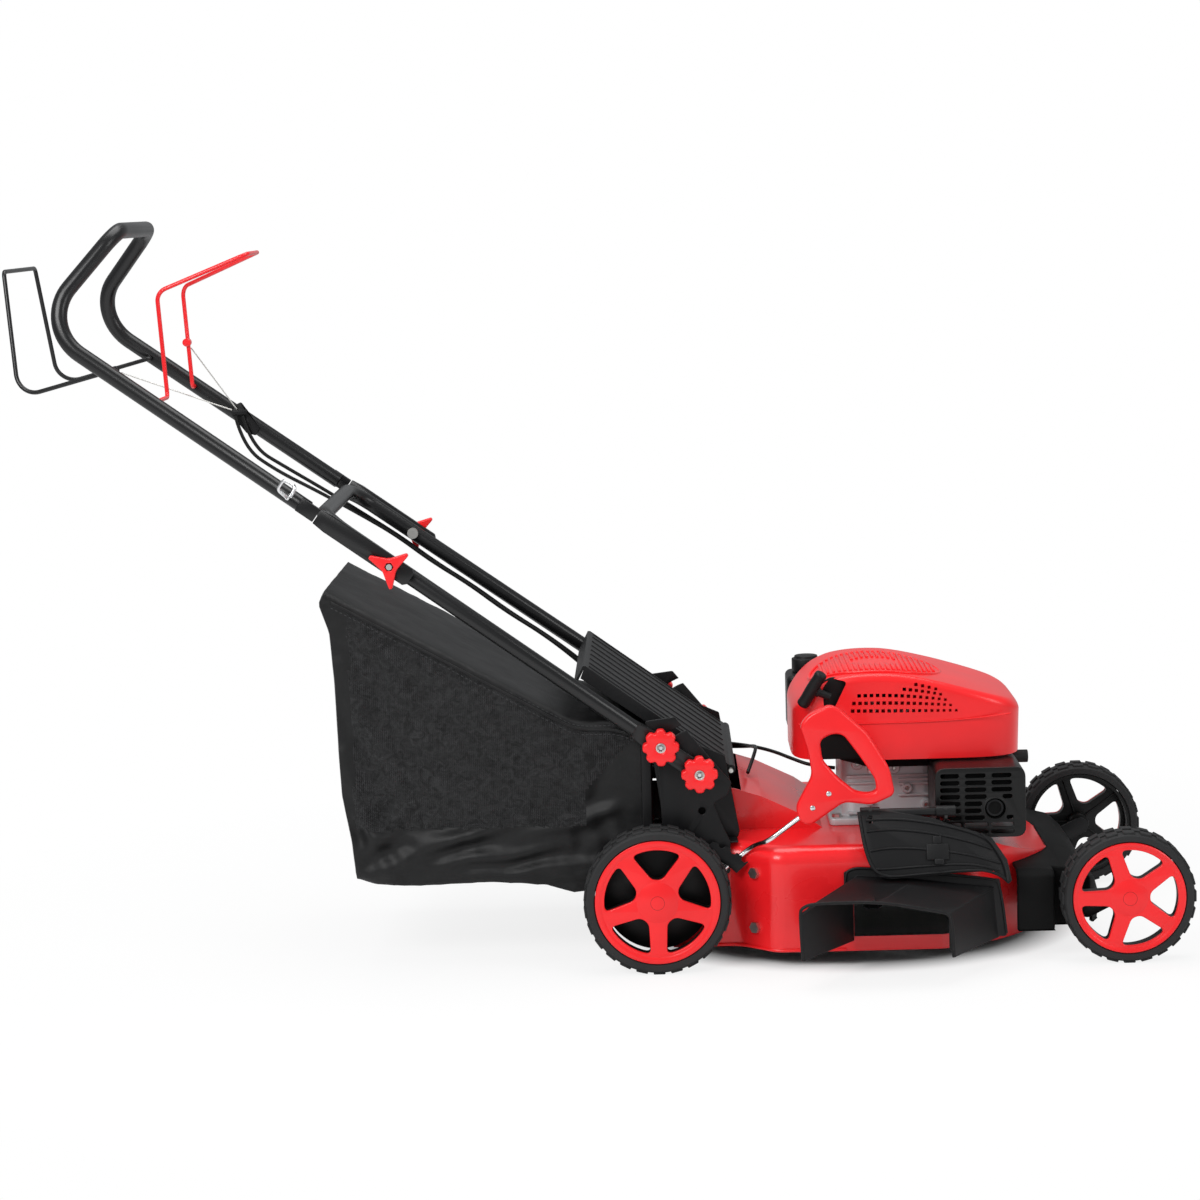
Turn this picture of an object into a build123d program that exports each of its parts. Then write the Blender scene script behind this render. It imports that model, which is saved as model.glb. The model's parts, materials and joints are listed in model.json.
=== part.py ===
"""Walk-behind petrol lawn mower with a grass bag, a side chute and a folding handle.

Mower axes while modelling: x forward from the rear axle, y to the left from the middle
plane, z up from the ground, in millimetres. save() moves each finished piece so that the
origin is on the ground, under the middle of the whole machine's box.
"""
from build123d import *
import os
from math import atan2, cos, degrees, hypot, pi, radians, sin, tan

os.makedirs("parts", exist_ok=True)

# ---- driving dimensions -------------------------------------------------------------
origin_x = -73.5           # origin of the written parts, in mower axes
origin_y = -39.5

fit = 0.3                  # gap between pieces that move past each other
running = 0.06             # radial clearance of a pin in its bore
seat_gap = 0.1             # radial gap between pieces fixed to each other

wheelbase = 634.0
rear_tyre_r = 100.0
front_tyre_r = 90.0
rear_rim_r = 84.9
front_rim_r = 75.9
wheel_gap = 18.0           # inner face of every wheel, from the deck beside it
wheel_width = 45.0
lug_height = 2.5
rear_lugs = 26
front_lugs = 24
spokes = 5
stub_r = 6.0               # stub axles that the wheels turn on

arm_length = 56.0          # height arms, from their pivot to the wheel's axle
arm_drop = 25.0            # how far the axles stand above the arm pivots at the lowest cut
arm_gap = 9.0              # height arms, from the deck beside them
arm_t = 5.0
arm_h = 24.0
cross_tube_r = 7.0
cross_neck_r = 4.0         # the front tube is thinner beside the link rod's eye
drive_shaft_r = 7.0
link_r = 2.5               # rod that joins the front and rear height arms
link_crank = 20.0          # link pins, from the arm pivots
link_angle = 63.5

deck_half = 238.0          # deck, from the middle plane to the outside of its skirt
deck_rear_half = 195.0     # the same between the rear wheels
deck_bottom = 22.0
deck_top = 165.0
deck_t = 2.5
deck_rear_x = 20.0
deck_neck_x = 136.0        # middle of the stretch where the skirt widens
deck_neck = 24.0           # half the length of that stretch
deck_edge_r = 22.0
nose_margin = 12.0         # the round front's radius, past half the deck's width
nose_slope_x = 440.0       # the deck's top falls forward from here
nose_top = 117.0
tunnel_right = -105.0      # grass tunnel to the bag
tunnel_left = 168.0
tunnel_floor = 134.0
tunnel_mouth = 236.0
engine_hole_r = 45.0
engine_bolts = ((253, -88), (253, 88), (366, -91), (366, 91))

crank_x = 307.0
blade_r = 228.0
blade_z = 36.0
blade_t = 3.5
blade_w = 55.0
shaft_r = 11.0
pulley_z = 112.0
pulley_h = 17.0
engine_pulley_r = 28.0
gearbox_pulley_r = 40.0
gearbox_x = 85.0
belt_t = 8.0
flywheel_r = 92.0
flywheel_z = 268.0
shroud_z = 265.0           # lower edge of the blower housing
shroud_t = 3.0
block_top = 262.0          # top of the crankcase
recoil_r = 45.0
recoil_z = 334.0
recoil_post_r = 7.0

tube_r = 11.0              # handle tubes
tube_wall = 1.5
flat_t = 8.0               # thickness of a tube's flattened end
flat_h = 26.0
bolt_r = 4.0
knob_front_x = 61.4        # pivot bolts of the lower handle
knob_front_z = 266.4
knob_rear_x = 10.0         # lock bolts of the lower handle
knob_rear_z = 304.9
knob_r = 25.7
knob_lobes = 8
knob_t = 18.0
wing_x = -347.0            # bolts that join the two handles
wing_z = 561.7
bracket_t = 3.0
lower_end_x = -24.0        # the lower handle's round tube starts here
lower_top_y = 189.2        # lower handle's legs at the wing bolts
crossbar_x = -439.0
crossbar_r = 45.0
wing_knob_r = 30.0         # the wing knobs have three pointed wings
wing_valley_r = 11.5
wing_gap = 1.6             # between a leg and the flattened end that crosses it
upper_y = 197.0            # upper handle's legs at their lower end
upper_start_x = -455.0
grip_x = -808.6            # corner between the legs and the grip loop
grip_y = 188.0
grip_bend_r = 64.0
top_x = -706.0             # cross bar of the grip
top_z = 1018.0
top_y = 132.0
top_bend_r = 45.0
bail_r = 3.0
stop_x = -660.0            # pivot of the stop bail
stop_z = 787.0
drive_x = -722.0           # pivot of the drive bail
drive_z = 830.0
bail_grip = 3.5            # how far a bail's end stands inside its tube

flap_x = 105.0             # hinge of the rear flap
flap_z = 262.0
flap_half = 164.0
flap_t = 3.0
flap_angle = 143.6
flap_length = 245.0
hinge_rod_r = 3.0
cheek_gap = 25.0           # rear frame's side plates, in from the deck's side
frame_t = 2.5
door_y = -222.0            # hinge of the side door
door_z = 208.0
bag_half = 178.0
bag_wall = 4.0
bag_mouth_x = -18.0

# ---- worked out from them -----------------------------------------------------------
arm_reach = (arm_length**2 - arm_drop**2) ** 0.5
rear_arm_x = arm_reach
rear_arm_z = rear_tyre_r - arm_drop
front_arm_x = wheelbase - arm_reach
front_arm_z = front_tyre_r - arm_drop
nose_r = deck_half + nose_margin
arm_in = deck_rear_half + arm_gap
wheel_in = deck_rear_half + wheel_gap
cheek_y = deck_rear_half - cheek_gap
arm_out = arm_in + arm_t
wheel_out = wheel_in + wheel_width
wheel_mid = wheel_in + wheel_width / 2
handle_slope = (wing_z - knob_front_z) / (knob_front_x - wing_x)
handle_angle = degrees(atan2(wing_z - knob_front_z, wing_x - knob_front_x))
bracket_out = deck_rear_half + bracket_t
lower_end_y = bracket_out + 2 * fit + flat_t / 2
knob_in = lower_end_y + flat_t / 2 + fit
crossbar_y = lower_end_y - (lower_end_y - lower_top_y) * (lower_end_x - crossbar_x) / (lower_end_x - wing_x)
upper_flat_y = lower_top_y + tube_r + wing_gap
to_origin = Location((-origin_x, -origin_y, 0))
SIDES = (("right", -1), ("left", 1))


# ---- helpers that add to, or cut, the piece being built -----------------------------
def save(piece, name):
    """Label a finished piece and write it, moved to the origin of the whole machine."""
    piece.part = piece.part.moved(to_origin)
    piece.part.label = name
    export_step(piece.part, f"parts/{name}.step")


def across(y):
    """Plane across the mower at y: local x forward, local y up, its normal to the right."""
    return Plane.XZ.offset(-y)


def slab(points, y_a, y_b, corner=0, mode=Mode.ADD):
    """Flat plate with an x-z outline, between two distances from the middle plane."""
    with BuildSketch(across(max(y_a, y_b))) as outline:
        with BuildLine():
            Polyline(*points, close=True)
        make_face()
        if corner:
            fillet(outline.vertices(), corner)
    extrude(outline.sketch, amount=abs(y_b - y_a), mode=mode)


def post(x, z, radius, y_a, y_b, mode=Mode.ADD):
    """Round bar along y."""
    with BuildSketch(across(max(y_a, y_b))) as section:
        with Locations((x, z)):
            Circle(radius)
    extrude(section.sketch, amount=abs(y_b - y_a), mode=mode)


def block(x_a, x_b, y_a, y_b, z_a, z_b, mode=Mode.ADD):
    """Box between two corners."""
    with Locations(((x_a + x_b) / 2, (y_a + y_b) / 2, (z_a + z_b) / 2)):
        Box(abs(x_b - x_a), abs(y_b - y_a), abs(z_b - z_a), mode=mode)


def rounded(x_a, x_b, y_a, y_b, z_a, z_b, corner, mode=Mode.ADD):
    """Box between two corners with rounded upright edges."""
    with BuildSketch(Plane.XY.offset(z_a)) as plan:
        with Locations(((x_a + x_b) / 2, (y_a + y_b) / 2)):
            RectangleRounded(abs(x_b - x_a), abs(y_b - y_a), corner)
    extrude(plan.sketch, amount=z_b - z_a, mode=mode)


def disc(x, y, radius, z_a, z_b, mode=Mode.ADD):
    """Round bar along z."""
    with Locations((x, y, (z_a + z_b) / 2)):
        Cylinder(radius, z_b - z_a, mode=mode)


def rod_x(y, z, radius, x_a, x_b, mode=Mode.ADD):
    """Round bar along x."""
    with Locations(((x_a + x_b) / 2, y, z)):
        Cylinder(radius, x_b - x_a, rotation=(0, 90, 0), mode=mode)


def bent_bar(points, radius, bends, inner=0, mode=Mode.ADD):
    """Round bar or tube along straight runs joined by arcs."""
    with BuildLine() as route:
        FilletPolyline(*points, radius=bends)
    with BuildSketch(Plane(route.line @ 0, z_dir=route.line % 0)) as section:
        Circle(radius)
        if inner:
            Circle(inner, mode=Mode.SUBTRACT)
    sweep(section.sketch, path=route.line, mode=mode)


def turned(x, z, length, angle):
    """Point at a length and an angle (degrees up from forward) from x, z."""
    return (x + length * cos(radians(angle)), z + length * sin(radians(angle)))


def handle_z(x):
    """Height of the handle's line at x."""
    return wing_z + (wing_x - x) * handle_slope


def along_handle(x, length, rise=0):
    """Point a length up the handle's line from x, and a rise square to it."""
    start = turned(x, handle_z(x), length, handle_angle)
    return turned(start[0], start[1], rise, handle_angle - 90)

# ---- deck and what is fixed to it ---------------------------------------------------
side_x = crank_x + (nose_r**2 - deck_half**2) ** 0.5
nose_fall = (deck_top - nose_top) / (crank_x + nose_r - nose_slope_x)


def deck_form(inset, bottom):
    """Add the outside of the deck drawn in by inset, down to bottom."""
    with BuildSketch(Plane.XY.offset(bottom)) as plan:
        with BuildLine():
            Polyline(
                (side_x, deck_half),
                (deck_neck_x + deck_neck, deck_half),
                (deck_neck_x - deck_neck, deck_rear_half),
                (deck_rear_x, deck_rear_half),
                (deck_rear_x, -deck_rear_half),
                (deck_neck_x - deck_neck, -deck_rear_half),
                (deck_neck_x + deck_neck, -deck_half),
                (side_x, -deck_half),
            )
            ThreePointArc((side_x, -deck_half), (crank_x + nose_r, 0), (side_x, deck_half))
        make_face()
        fillet(plan.vertices().filter_by_position(Axis.X, deck_rear_x + 1, side_x - 1), 30)
        if inset:
            offset(amount=-inset)
    extrude(plan.sketch, amount=deck_top - inset - bottom)
    rim = [edge for edge in edges().group_by(Axis.Z)[-1] if edge.center().X > deck_rear_x + inset + 1]
    fillet(rim, deck_edge_r - inset)
    top = deck_top - inset
    ahead = crank_x + nose_r + 30
    slab(
        [(nose_slope_x, top), (ahead, top - nose_fall * (ahead - nose_slope_x)), (ahead, top + 40),
         (nose_slope_x, top + 40)],
        -deck_half - 20, deck_half + 20, mode=Mode.SUBTRACT,
    )


with BuildPart() as deck_outside:
    deck_form(0, deck_bottom)

with BuildPart() as deck_inside:
    deck_form(deck_t, deck_bottom - 10)

# Steel deck: a shell open below, with the grass tunnel behind the blade, the side opening,
# ears for the front axle and the side door, and bushes for the rear height arms.
tunnel_roof = [(deck_rear_x, tunnel_mouth), (111, 223), (148, 211), (205, 183.5), (240, deck_top - 6)]
door_ears = (290.0, 392.0)
chute_rear = 262.0
chute_front = 455.0

with BuildPart() as deck:
    add(deck_outside.part)
    slab(
        [(deck_rear_x, tunnel_floor - deck_t)] + tunnel_roof + [(240, tunnel_floor - deck_t)],
        tunnel_right, tunnel_left,
    )
    add(deck_inside.part, mode=Mode.SUBTRACT)
    slab(
        [(deck_rear_x + deck_t, tunnel_floor - deck_t)]
        + [(x, z - deck_t) for x, z in tunnel_roof[1:]]
        + [(240, tunnel_floor - deck_t)],
        tunnel_right + deck_t, tunnel_left - deck_t, mode=Mode.SUBTRACT,
    )
    block(deck_rear_x, 120, tunnel_right + 1, tunnel_left - 1, tunnel_floor - deck_t, tunnel_floor)
    block(deck_rear_x - 5, 120, tunnel_right + deck_t, tunnel_left - deck_t,
          tunnel_floor, tunnel_mouth - deck_t - 3, mode=Mode.SUBTRACT)
    disc(crank_x, 0, engine_hole_r, deck_top - 20, deck_top + 20, mode=Mode.SUBTRACT)
    for x, y in engine_bolts:
        disc(x, y, bolt_r + seat_gap, deck_top - 20, deck_top + 20, mode=Mode.SUBTRACT)
    slab(
        [(chute_rear + 3, 42), (chute_rear + 3, 114), (274, 122), (350, 115), (450, 102), (457, 42)],
        -deck_half - 30, -deck_half + 25, mode=Mode.SUBTRACT,
    )
    for side in (-1, 1):
        slab([(490, 52), (490, 84), (front_arm_x + 12, 84), (front_arm_x + 12, 52)], side * 117, side * 123, 4)
        post(front_arm_x, front_arm_z, cross_tube_r + running, side * 110, side * 130, mode=Mode.SUBTRACT)
        post(rear_arm_x, rear_arm_z, drive_shaft_r + 5, side * (deck_rear_half - deck_t - 1),
             side * (arm_in - fit))
        post(rear_arm_x, rear_arm_z, drive_shaft_r + running, side * (deck_rear_half - 20),
             side * arm_out, mode=Mode.SUBTRACT)
    for x in door_ears:
        with BuildSketch(Plane.YZ.offset(x - 2)) as ear:
            with BuildLine():
                Polyline((door_y - 7, door_z + 6), (door_y + 7, door_z + 6), (door_y + 21, deck_top - 2),
                         (door_y + 4, deck_top - 12), (door_y - 7, door_z - 6), close=True)
            make_face()
        extrude(ear.sketch, amount=4)
        rod_x(door_y, door_z, hinge_rod_r + seat_gap, x - 10, x + 10, mode=Mode.SUBTRACT)
save(deck, "deck")

# Black plastic cover over the front axle: a hood, open below and behind, that clears the
# nose of the deck and has a slot on each side for the axle and the link rod.
cover_top = 124.0
cover_side = [(487, 40), (603, 40), (608, 72), (599, 100), (580, 114), (552, 121), (520, cover_top),
              (487, cover_top)]
cover_t = 2.5


def cover_form(inset, bottom):
    """Add the hood drawn in by inset."""
    with BuildSketch(Plane.XY.offset(bottom)) as plan:
        with BuildLine():
            Polyline((440, -225), (538, -225), (538, -194), (590, -194), (609, -150), (609, 150),
                     (590, 194), (538, 194), (538, 225), (440, 225), close=True)
        make_face()
        if inset:
            offset(amount=-inset, kind=Kind.INTERSECTION)
    extrude(plan.sketch, amount=cover_top + 20 - bottom)
    slab(
        [(487, bottom)] + [(603 - inset, bottom)] + [(x - inset, z) for x, z in cover_side[2:4]]
        + [(x - inset / 2, z - inset) for x, z in cover_side[4:]],
        -240, 240, mode=Mode.INTERSECT,
    )
    with BuildSketch(Plane.YZ.offset(400)) as brow:
        with BuildLine():
            Polyline((225, bottom), (225, 116 - inset), (212, cover_top - inset), (-212, cover_top - inset),
                     (-225, 116 - inset), (-225, bottom), close=True)
        make_face()
    extrude(brow.sketch, amount=300, mode=Mode.INTERSECT)


with BuildPart() as cover_inside:
    cover_form(cover_t, 30)

with BuildPart() as front_cover:
    cover_form(0, 40)
    add(cover_inside.part, mode=Mode.SUBTRACT)
    block(460, 487 + cover_t, -225 + cover_t, 225 - cover_t, 30, 116 - cover_t, mode=Mode.SUBTRACT)
    add(deck_outside.part, mode=Mode.SUBTRACT)
    for side in (-1, 1):
        block(front_arm_x - cross_tube_r - 2, front_arm_x + cross_tube_r + 2, side * 185, side * 200,
              30, front_arm_z + cross_tube_r + 2, mode=Mode.SUBTRACT)
    block(500, 560, 196, 212, 30, 72, mode=Mode.SUBTRACT)
save(front_cover, "front_cover")

# Painted steel brackets: one plate outside each rear side of the deck, carrying the lower
# handle. The slot lets the lock bolt swing out when the handle folds forward.
knob_spacing = hypot(knob_front_x - knob_rear_x, knob_rear_z - knob_front_z)
knob_angle = degrees(atan2(knob_rear_z - knob_front_z, knob_rear_x - knob_front_x))
bracket_edge = [(-11.8, 337.8), (29.9, 342.7), (104.9, 250.2), (99, 233.5), (79.4, 222.8), (89.7, 194),
                (101.6, 168.3), (100, 124), (12, 124), (8.8, 202), (5.4, 276.5)]
with BuildPart() as handle_brackets:
    slab(bracket_edge, deck_rear_half, bracket_out, 4)
    post(knob_front_x, knob_front_z, bolt_r + seat_gap, deck_rear_half - 1, bracket_out + 1,
         mode=Mode.SUBTRACT)
    with BuildSketch(across(bracket_out + 1)) as slot:
        with BuildLine() as swing:
            CenterArc((knob_front_x, knob_front_z), knob_spacing, knob_angle - 75, 75)
        SlotArc(swing.edge(), 2 * bolt_r + 1)
    extrude(slot.sketch, amount=bracket_t + 2, mode=Mode.SUBTRACT)
    post(63.5, 212, 5, deck_rear_half - 1, bracket_out + 1, mode=Mode.SUBTRACT)
    mirror(about=Plane.XZ)
save(handle_brackets, "handle_brackets")

# Painted steel frame round the mouth of the tunnel: two cheeks, a back plate with the
# window for the grass, and a floor lip that the bag hangs behind.
cheek_edge = [(14, 168), (-4, 300), (22, 316), (97, 283), (115, 177), (112, 168)]
with BuildPart() as rear_frame:
    for side in (-1, 1):
        slab(cheek_edge, side * cheek_y, side * (cheek_y + frame_t), 3)
        post(flap_x, flap_z, hinge_rod_r + seat_gap, side * (cheek_y - 5), side * (cheek_y + 9),
             mode=Mode.SUBTRACT)
        block(14, 112, side * cheek_y, side * deck_rear_half, 166, 168)
    block(deck_rear_x - fit - frame_t, deck_rear_x - fit, -cheek_y, cheek_y, 150, 300)
    block(0, 40, tunnel_right + deck_t, tunnel_left - deck_t, tunnel_floor, tunnel_mouth - deck_t - 3,
          mode=Mode.SUBTRACT)
save(rear_frame, "rear_frame")

# Steel rods that the rear flap and the side door turn on.
with BuildPart() as hinge_rods:
    post(flap_x, flap_z, hinge_rod_r, -cheek_y - frame_t - 2, cheek_y + frame_t + 2)
    rod_x(door_y, door_z, hinge_rod_r, 280, 404)
save(hinge_rods, "hinge_rods")

# Black plastic side chute: a hood open below, hooked over the side opening and slanting
# back as it leaves the deck.
chute_y = -deck_half - seat_gap
lip_y = -340.0
chute_t = 3.0
deck_end = [(262, 36), (262, 118), (272, 127), (350, 120), (455, 107), (461, 36)]
lip_end = [(190, 36), (187, 100), (206, 114), (293, 114), (386, 96), (390, 36)]


def inner(points):
    """The same opening, a wall smaller, and open below."""
    (a, b, c, d, e, f) = points
    return [(a[0] + chute_t, a[1] - 10), (b[0] + chute_t, b[1] - 1), (c[0] + 1, c[1] - chute_t),
            (d[0], d[1] - chute_t), (e[0] - chute_t, e[1] - chute_t), (f[0] - chute_t, f[1] - 10)]


def chute_form(near, far, y_near, y_far, mode=Mode.ADD):
    """Loft between two outlines."""
    with BuildSketch(across(y_near)) as root:
        with BuildLine():
            Polyline(*near, close=True)
        make_face()
    with BuildSketch(across(y_far)) as lip:
        with BuildLine():
            Polyline(*far, close=True)
        make_face()
    loft([root.sketch.face(), lip.sketch.face()], ruled=True, mode=mode)


with BuildPart() as discharge_chute:
    chute_form(deck_end, lip_end, chute_y, lip_y)
    slab([(252, 38), (252, 132), (278, 138), (352, 130), (462, 117), (471, 38)], chute_y, chute_y - 3, 3)
    chute_form(inner(deck_end), inner(lip_end), chute_y, lip_y, mode=Mode.SUBTRACT)
    slab(inner(deck_end), chute_y + 5, chute_y, mode=Mode.SUBTRACT)
    slab(inner(lip_end), lip_y, lip_y - 5, mode=Mode.SUBTRACT)
    slab([(283, 111), (283, 116), (287, 116), (287, 111)], lip_y, lip_y + 50)
save(discharge_chute, "discharge_chute")

# Toothed steel plate on the right side that holds the height lever.
quadrant_in = arm_out + fit
quadrant_t = 2.0
quadrant_r = (78.0, 100.0)
rear_pivot = (rear_arm_x, rear_arm_z)
notch_bolt = turned(*rear_pivot, 87, 113.5)
with BuildPart() as height_quadrant:
    with BuildSketch(across(-quadrant_in)) as sector:
        with BuildLine():
            CenterArc(rear_pivot, quadrant_r[1], 42, 80)
            CenterArc(rear_pivot, quadrant_r[0], 42, 80)
            Line(turned(*rear_pivot, quadrant_r[1], 42), turned(*rear_pivot, quadrant_r[0], 42))
            Line(turned(*rear_pivot, quadrant_r[1], 122), turned(*rear_pivot, quadrant_r[0], 122))
        make_face()
        with Locations(rear_pivot):
            with PolarLocations(quadrant_r[1], 6, 45.6, 53, endpoint=True):
                Circle(4.5, mode=Mode.SUBTRACT)
        with Locations(notch_bolt):
            Circle(bolt_r + seat_gap, mode=Mode.SUBTRACT)
    extrude(sector.sketch, amount=quadrant_t)
save(height_quadrant, "height_quadrant")

# Aluminium gearbox under the tunnel's floor: the drive shaft runs through it and the belt
# pulley stands on it.
gearbox_top = 104.0
with BuildPart() as gearbox:
    slab([(28, 52), (28, 92), (44, gearbox_top), (gearbox_x + 22, gearbox_top), (gearbox_x + 22, 62),
          (86, 52)], -28, 28, 5)
    post(rear_arm_x, rear_arm_z, 18, -40, 40)
    disc(gearbox_x, 0, 14, gearbox_top - 4, pulley_z - fit)
    post(rear_arm_x, rear_arm_z, drive_shaft_r + running, -45, 45, mode=Mode.SUBTRACT)
    disc(gearbox_x, 0, 6 + running, gearbox_top - 30, pulley_z + 1, mode=Mode.SUBTRACT)
    block(deck_rear_x + deck_t, 34, -20, 20, 60, 88)
save(gearbox, "gearbox")

# Belt from the engine's pulley to the gearbox's, under the deck.
belt_in = fit


def belt_loop(grow):
    """Add the outline of the belt's run round both pulleys, grown by an amount."""
    r_a = gearbox_pulley_r - 6 + grow
    r_b = engine_pulley_r - 6 + grow
    lean = degrees(atan2(r_a - r_b, crank_x - gearbox_x))
    with BuildLine() as loop:
        CenterArc((gearbox_x, 0), r_a, 90 - lean, 180 + 2 * lean)
        CenterArc((crank_x, 0), r_b, -90 + lean, 180 - 2 * lean)
        Line((gearbox_x + r_a * sin(radians(lean)), r_a * cos(radians(lean))),
             (crank_x + r_b * sin(radians(lean)), r_b * cos(radians(lean))))
        Line((gearbox_x + r_a * sin(radians(lean)), -r_a * cos(radians(lean))),
             (crank_x + r_b * sin(radians(lean)), -r_b * cos(radians(lean))))
    make_face(loop.edges())


with BuildPart() as drive_belt:
    with BuildSketch(Plane.XY.offset(pulley_z + 4)) as belt_outside:
        belt_loop(fit + belt_t)
    with BuildSketch(Plane.XY.offset(pulley_z + 4)) as belt_inside:
        belt_loop(fit)
    extrude(belt_outside.sketch, amount=pulley_h - 8)
    extrude(belt_inside.sketch, amount=pulley_h - 8, mode=Mode.SUBTRACT)
save(drive_belt, "drive_belt")

# ---- engine -------------------------------------------------------------------------
# Cast aluminium crankcase standing on the deck, with the crankshaft's bore.
with BuildPart() as crankcase:
    rounded(243, 376, -99, 99, deck_top, deck_top + 10, 8)
    disc(crank_x, 0, engine_hole_r - fit, deck_top - 14, deck_top + 1)
    rounded(262, 391, -84, 84, deck_top + 9, block_top - 8, 18)
    block(297, 317, -110, 104, 240, block_top - 8)
    disc(crank_x, 0, 60, block_top - 10, block_top)
    disc(crank_x, 0, shaft_r + running, deck_top - 30, block_top + 5, mode=Mode.SUBTRACT)
    for x, y in engine_bolts:
        disc(x, y, bolt_r + seat_gap, deck_top - 5, deck_top + 15, mode=Mode.SUBTRACT)
save(crankcase, "crankcase")

# Finned cylinder pointing forward.
cylinder_z = 222.0
with BuildPart() as cylinder:
    rod_x(0, cylinder_z, 34, 391, 492)
    for k in range(9):
        block(397 + 10 * k, 399.5 + 10 * k, -62, 62, 186, 258)
    block(484, 492, -62, 62, 186, 258)
    rod_x(-40, 244, 7 + seat_gap, 470, 500, mode=Mode.SUBTRACT)
save(cylinder, "cylinder")

# Spark plug with its rubber boot, screwed into the cylinder's front.
with BuildPart() as spark_plug:
    rod_x(-40, 244, 7, 472, 500)
    rod_x(-40, 244, 10, 492, 504)
    rod_x(-40, 246, 9, 503, 526)
save(spark_plug, "spark_plug")

# Blower housing: a painted shroud open below, with the recoil starter's dome on top and
# posts that stand on the crankcase.
shroud_top = [(193, 275), (194, 339), (212, 362), (240, 381), (283, 387), (314, 387), (346, 384),
              (397, 371), (452, 357), (504, 339), (509, 326), (509, 300), (503, shroud_z), (197, shroud_z)]
shroud_y = (-140.0, 108.0)
shroud_mid = (shroud_y[0] + shroud_y[1]) / 2


pull_mid = (219, -139, 365)      # middle of the starter handle's bar
pull_in = (0.915, 0.094, -0.393)


def shroud_form(inset):
    """Add the shroud drawn in by inset."""
    with BuildSketch(Plane.XY.offset(shroud_z - inset)) as plan:
        with Locations((351, shroud_mid)):
            RectangleRounded(318 - 2 * inset, shroud_y[1] - shroud_y[0] - 2 * inset, 60 - inset)
    extrude(plan.sketch, amount=150)
    slab([(x, z - inset) for x, z in shroud_top], shroud_y[0] - 5, shroud_y[1] + 5, mode=Mode.INTERSECT)


with BuildPart() as shroud_outside:
    shroud_form(0)
    roof = [edge for edge in edges() if edge.center().Z > 325
            and not edge.tangent_at(0.5).cross(Vector(0, 1, 0)).length < 0.05]
    fillet(roof, 9)

with BuildPart() as shroud_inside:
    shroud_form(shroud_t)

with BuildPart() as blower_housing:
    add(shroud_outside.part)
    add(shroud_inside.part, mode=Mode.SUBTRACT)
    disc(crank_x, 0, recoil_post_r, recoil_z - 2, 385)
    for x, y, top in ((crank_x, -104, 385), (crank_x, 98, 385), (378, 72, 374), (378, -72, 374)):
        disc(x, y, 5, block_top - 8, top)
    with BuildSketch(Plane(pull_mid, z_dir=pull_in).offset(20)) as boss:
        Circle(9)
    extrude(boss.sketch, amount=20)
    with BuildSketch(Plane(pull_mid, z_dir=pull_in).offset(5)) as bore:
        Circle(3.5 + fit)
    extrude(bore.sketch, amount=40, mode=Mode.SUBTRACT)
save(blower_housing, "blower_housing")

# Silencer box beside the cylinder, and the slotted guard over it.
with BuildPart() as muffler:
    block(392, 496, -180, -96, 186, 254)
    fillet(edges().filter_by(Axis.Y), 16)
    rod_x(-80, 215, 10, 420, 440)
    block(410, 440, -97, -62, 205, 225)
    post(462, 205, 12, -192, -180)
save(muffler, "muffler")

with BuildPart() as muffler_guard:
    rounded(380, 504, -199, -90, deck_top + seat_gap, 262, 14)
    block(382.5, 501.5, -196.5, -85, 150, 259.5, mode=Mode.SUBTRACT)
    post(462, 205, 15, -202, -190, mode=Mode.SUBTRACT)
    for k in range(5):
        block(392 + 11 * k, 397 + 11 * k, -205, -190, 222, 248, mode=Mode.SUBTRACT)
save(muffler_guard, "muffler_guard")

# Fuel tank on the left side of the shroud, and its cap.
cap_x = 226.0
cap_y = 146.0
neck_r = 15.0
tank_top = 352.0
with BuildPart() as fuel_tank:
    rounded(196, 330, shroud_y[1] + fit, 186, 268, tank_top - 8, 12)
    fillet(edges().group_by(Axis.Z)[-1], 8)
    block(210, 320, shroud_y[1] + fit, 112, 262, 275)
    disc(cap_x, cap_y, neck_r, tank_top - 12, tank_top + 6)
    disc(cap_x, cap_y, neck_r - 3, tank_top - 14, tank_top + 8, mode=Mode.SUBTRACT)
save(fuel_tank, "fuel_tank")

with BuildPart() as fuel_cap:
    disc(cap_x, cap_y, neck_r + 6, tank_top - 7, tank_top + 13)
    disc(cap_x, cap_y, neck_r + seat_gap, tank_top - 9, tank_top + 6 + fit, mode=Mode.SUBTRACT)
    disc(cap_x, cap_y, neck_r + 2, tank_top + 12, tank_top + 17)
save(fuel_cap, "fuel_cap")

# Air filter box behind the cylinder's left side.
with BuildPart() as air_filter:
    rounded(346, 438, 100, 162, deck_top + seat_gap, 258, 12)
    block(360, 380, 84, 102, 205, 235)
save(air_filter, "air_filter")

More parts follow.
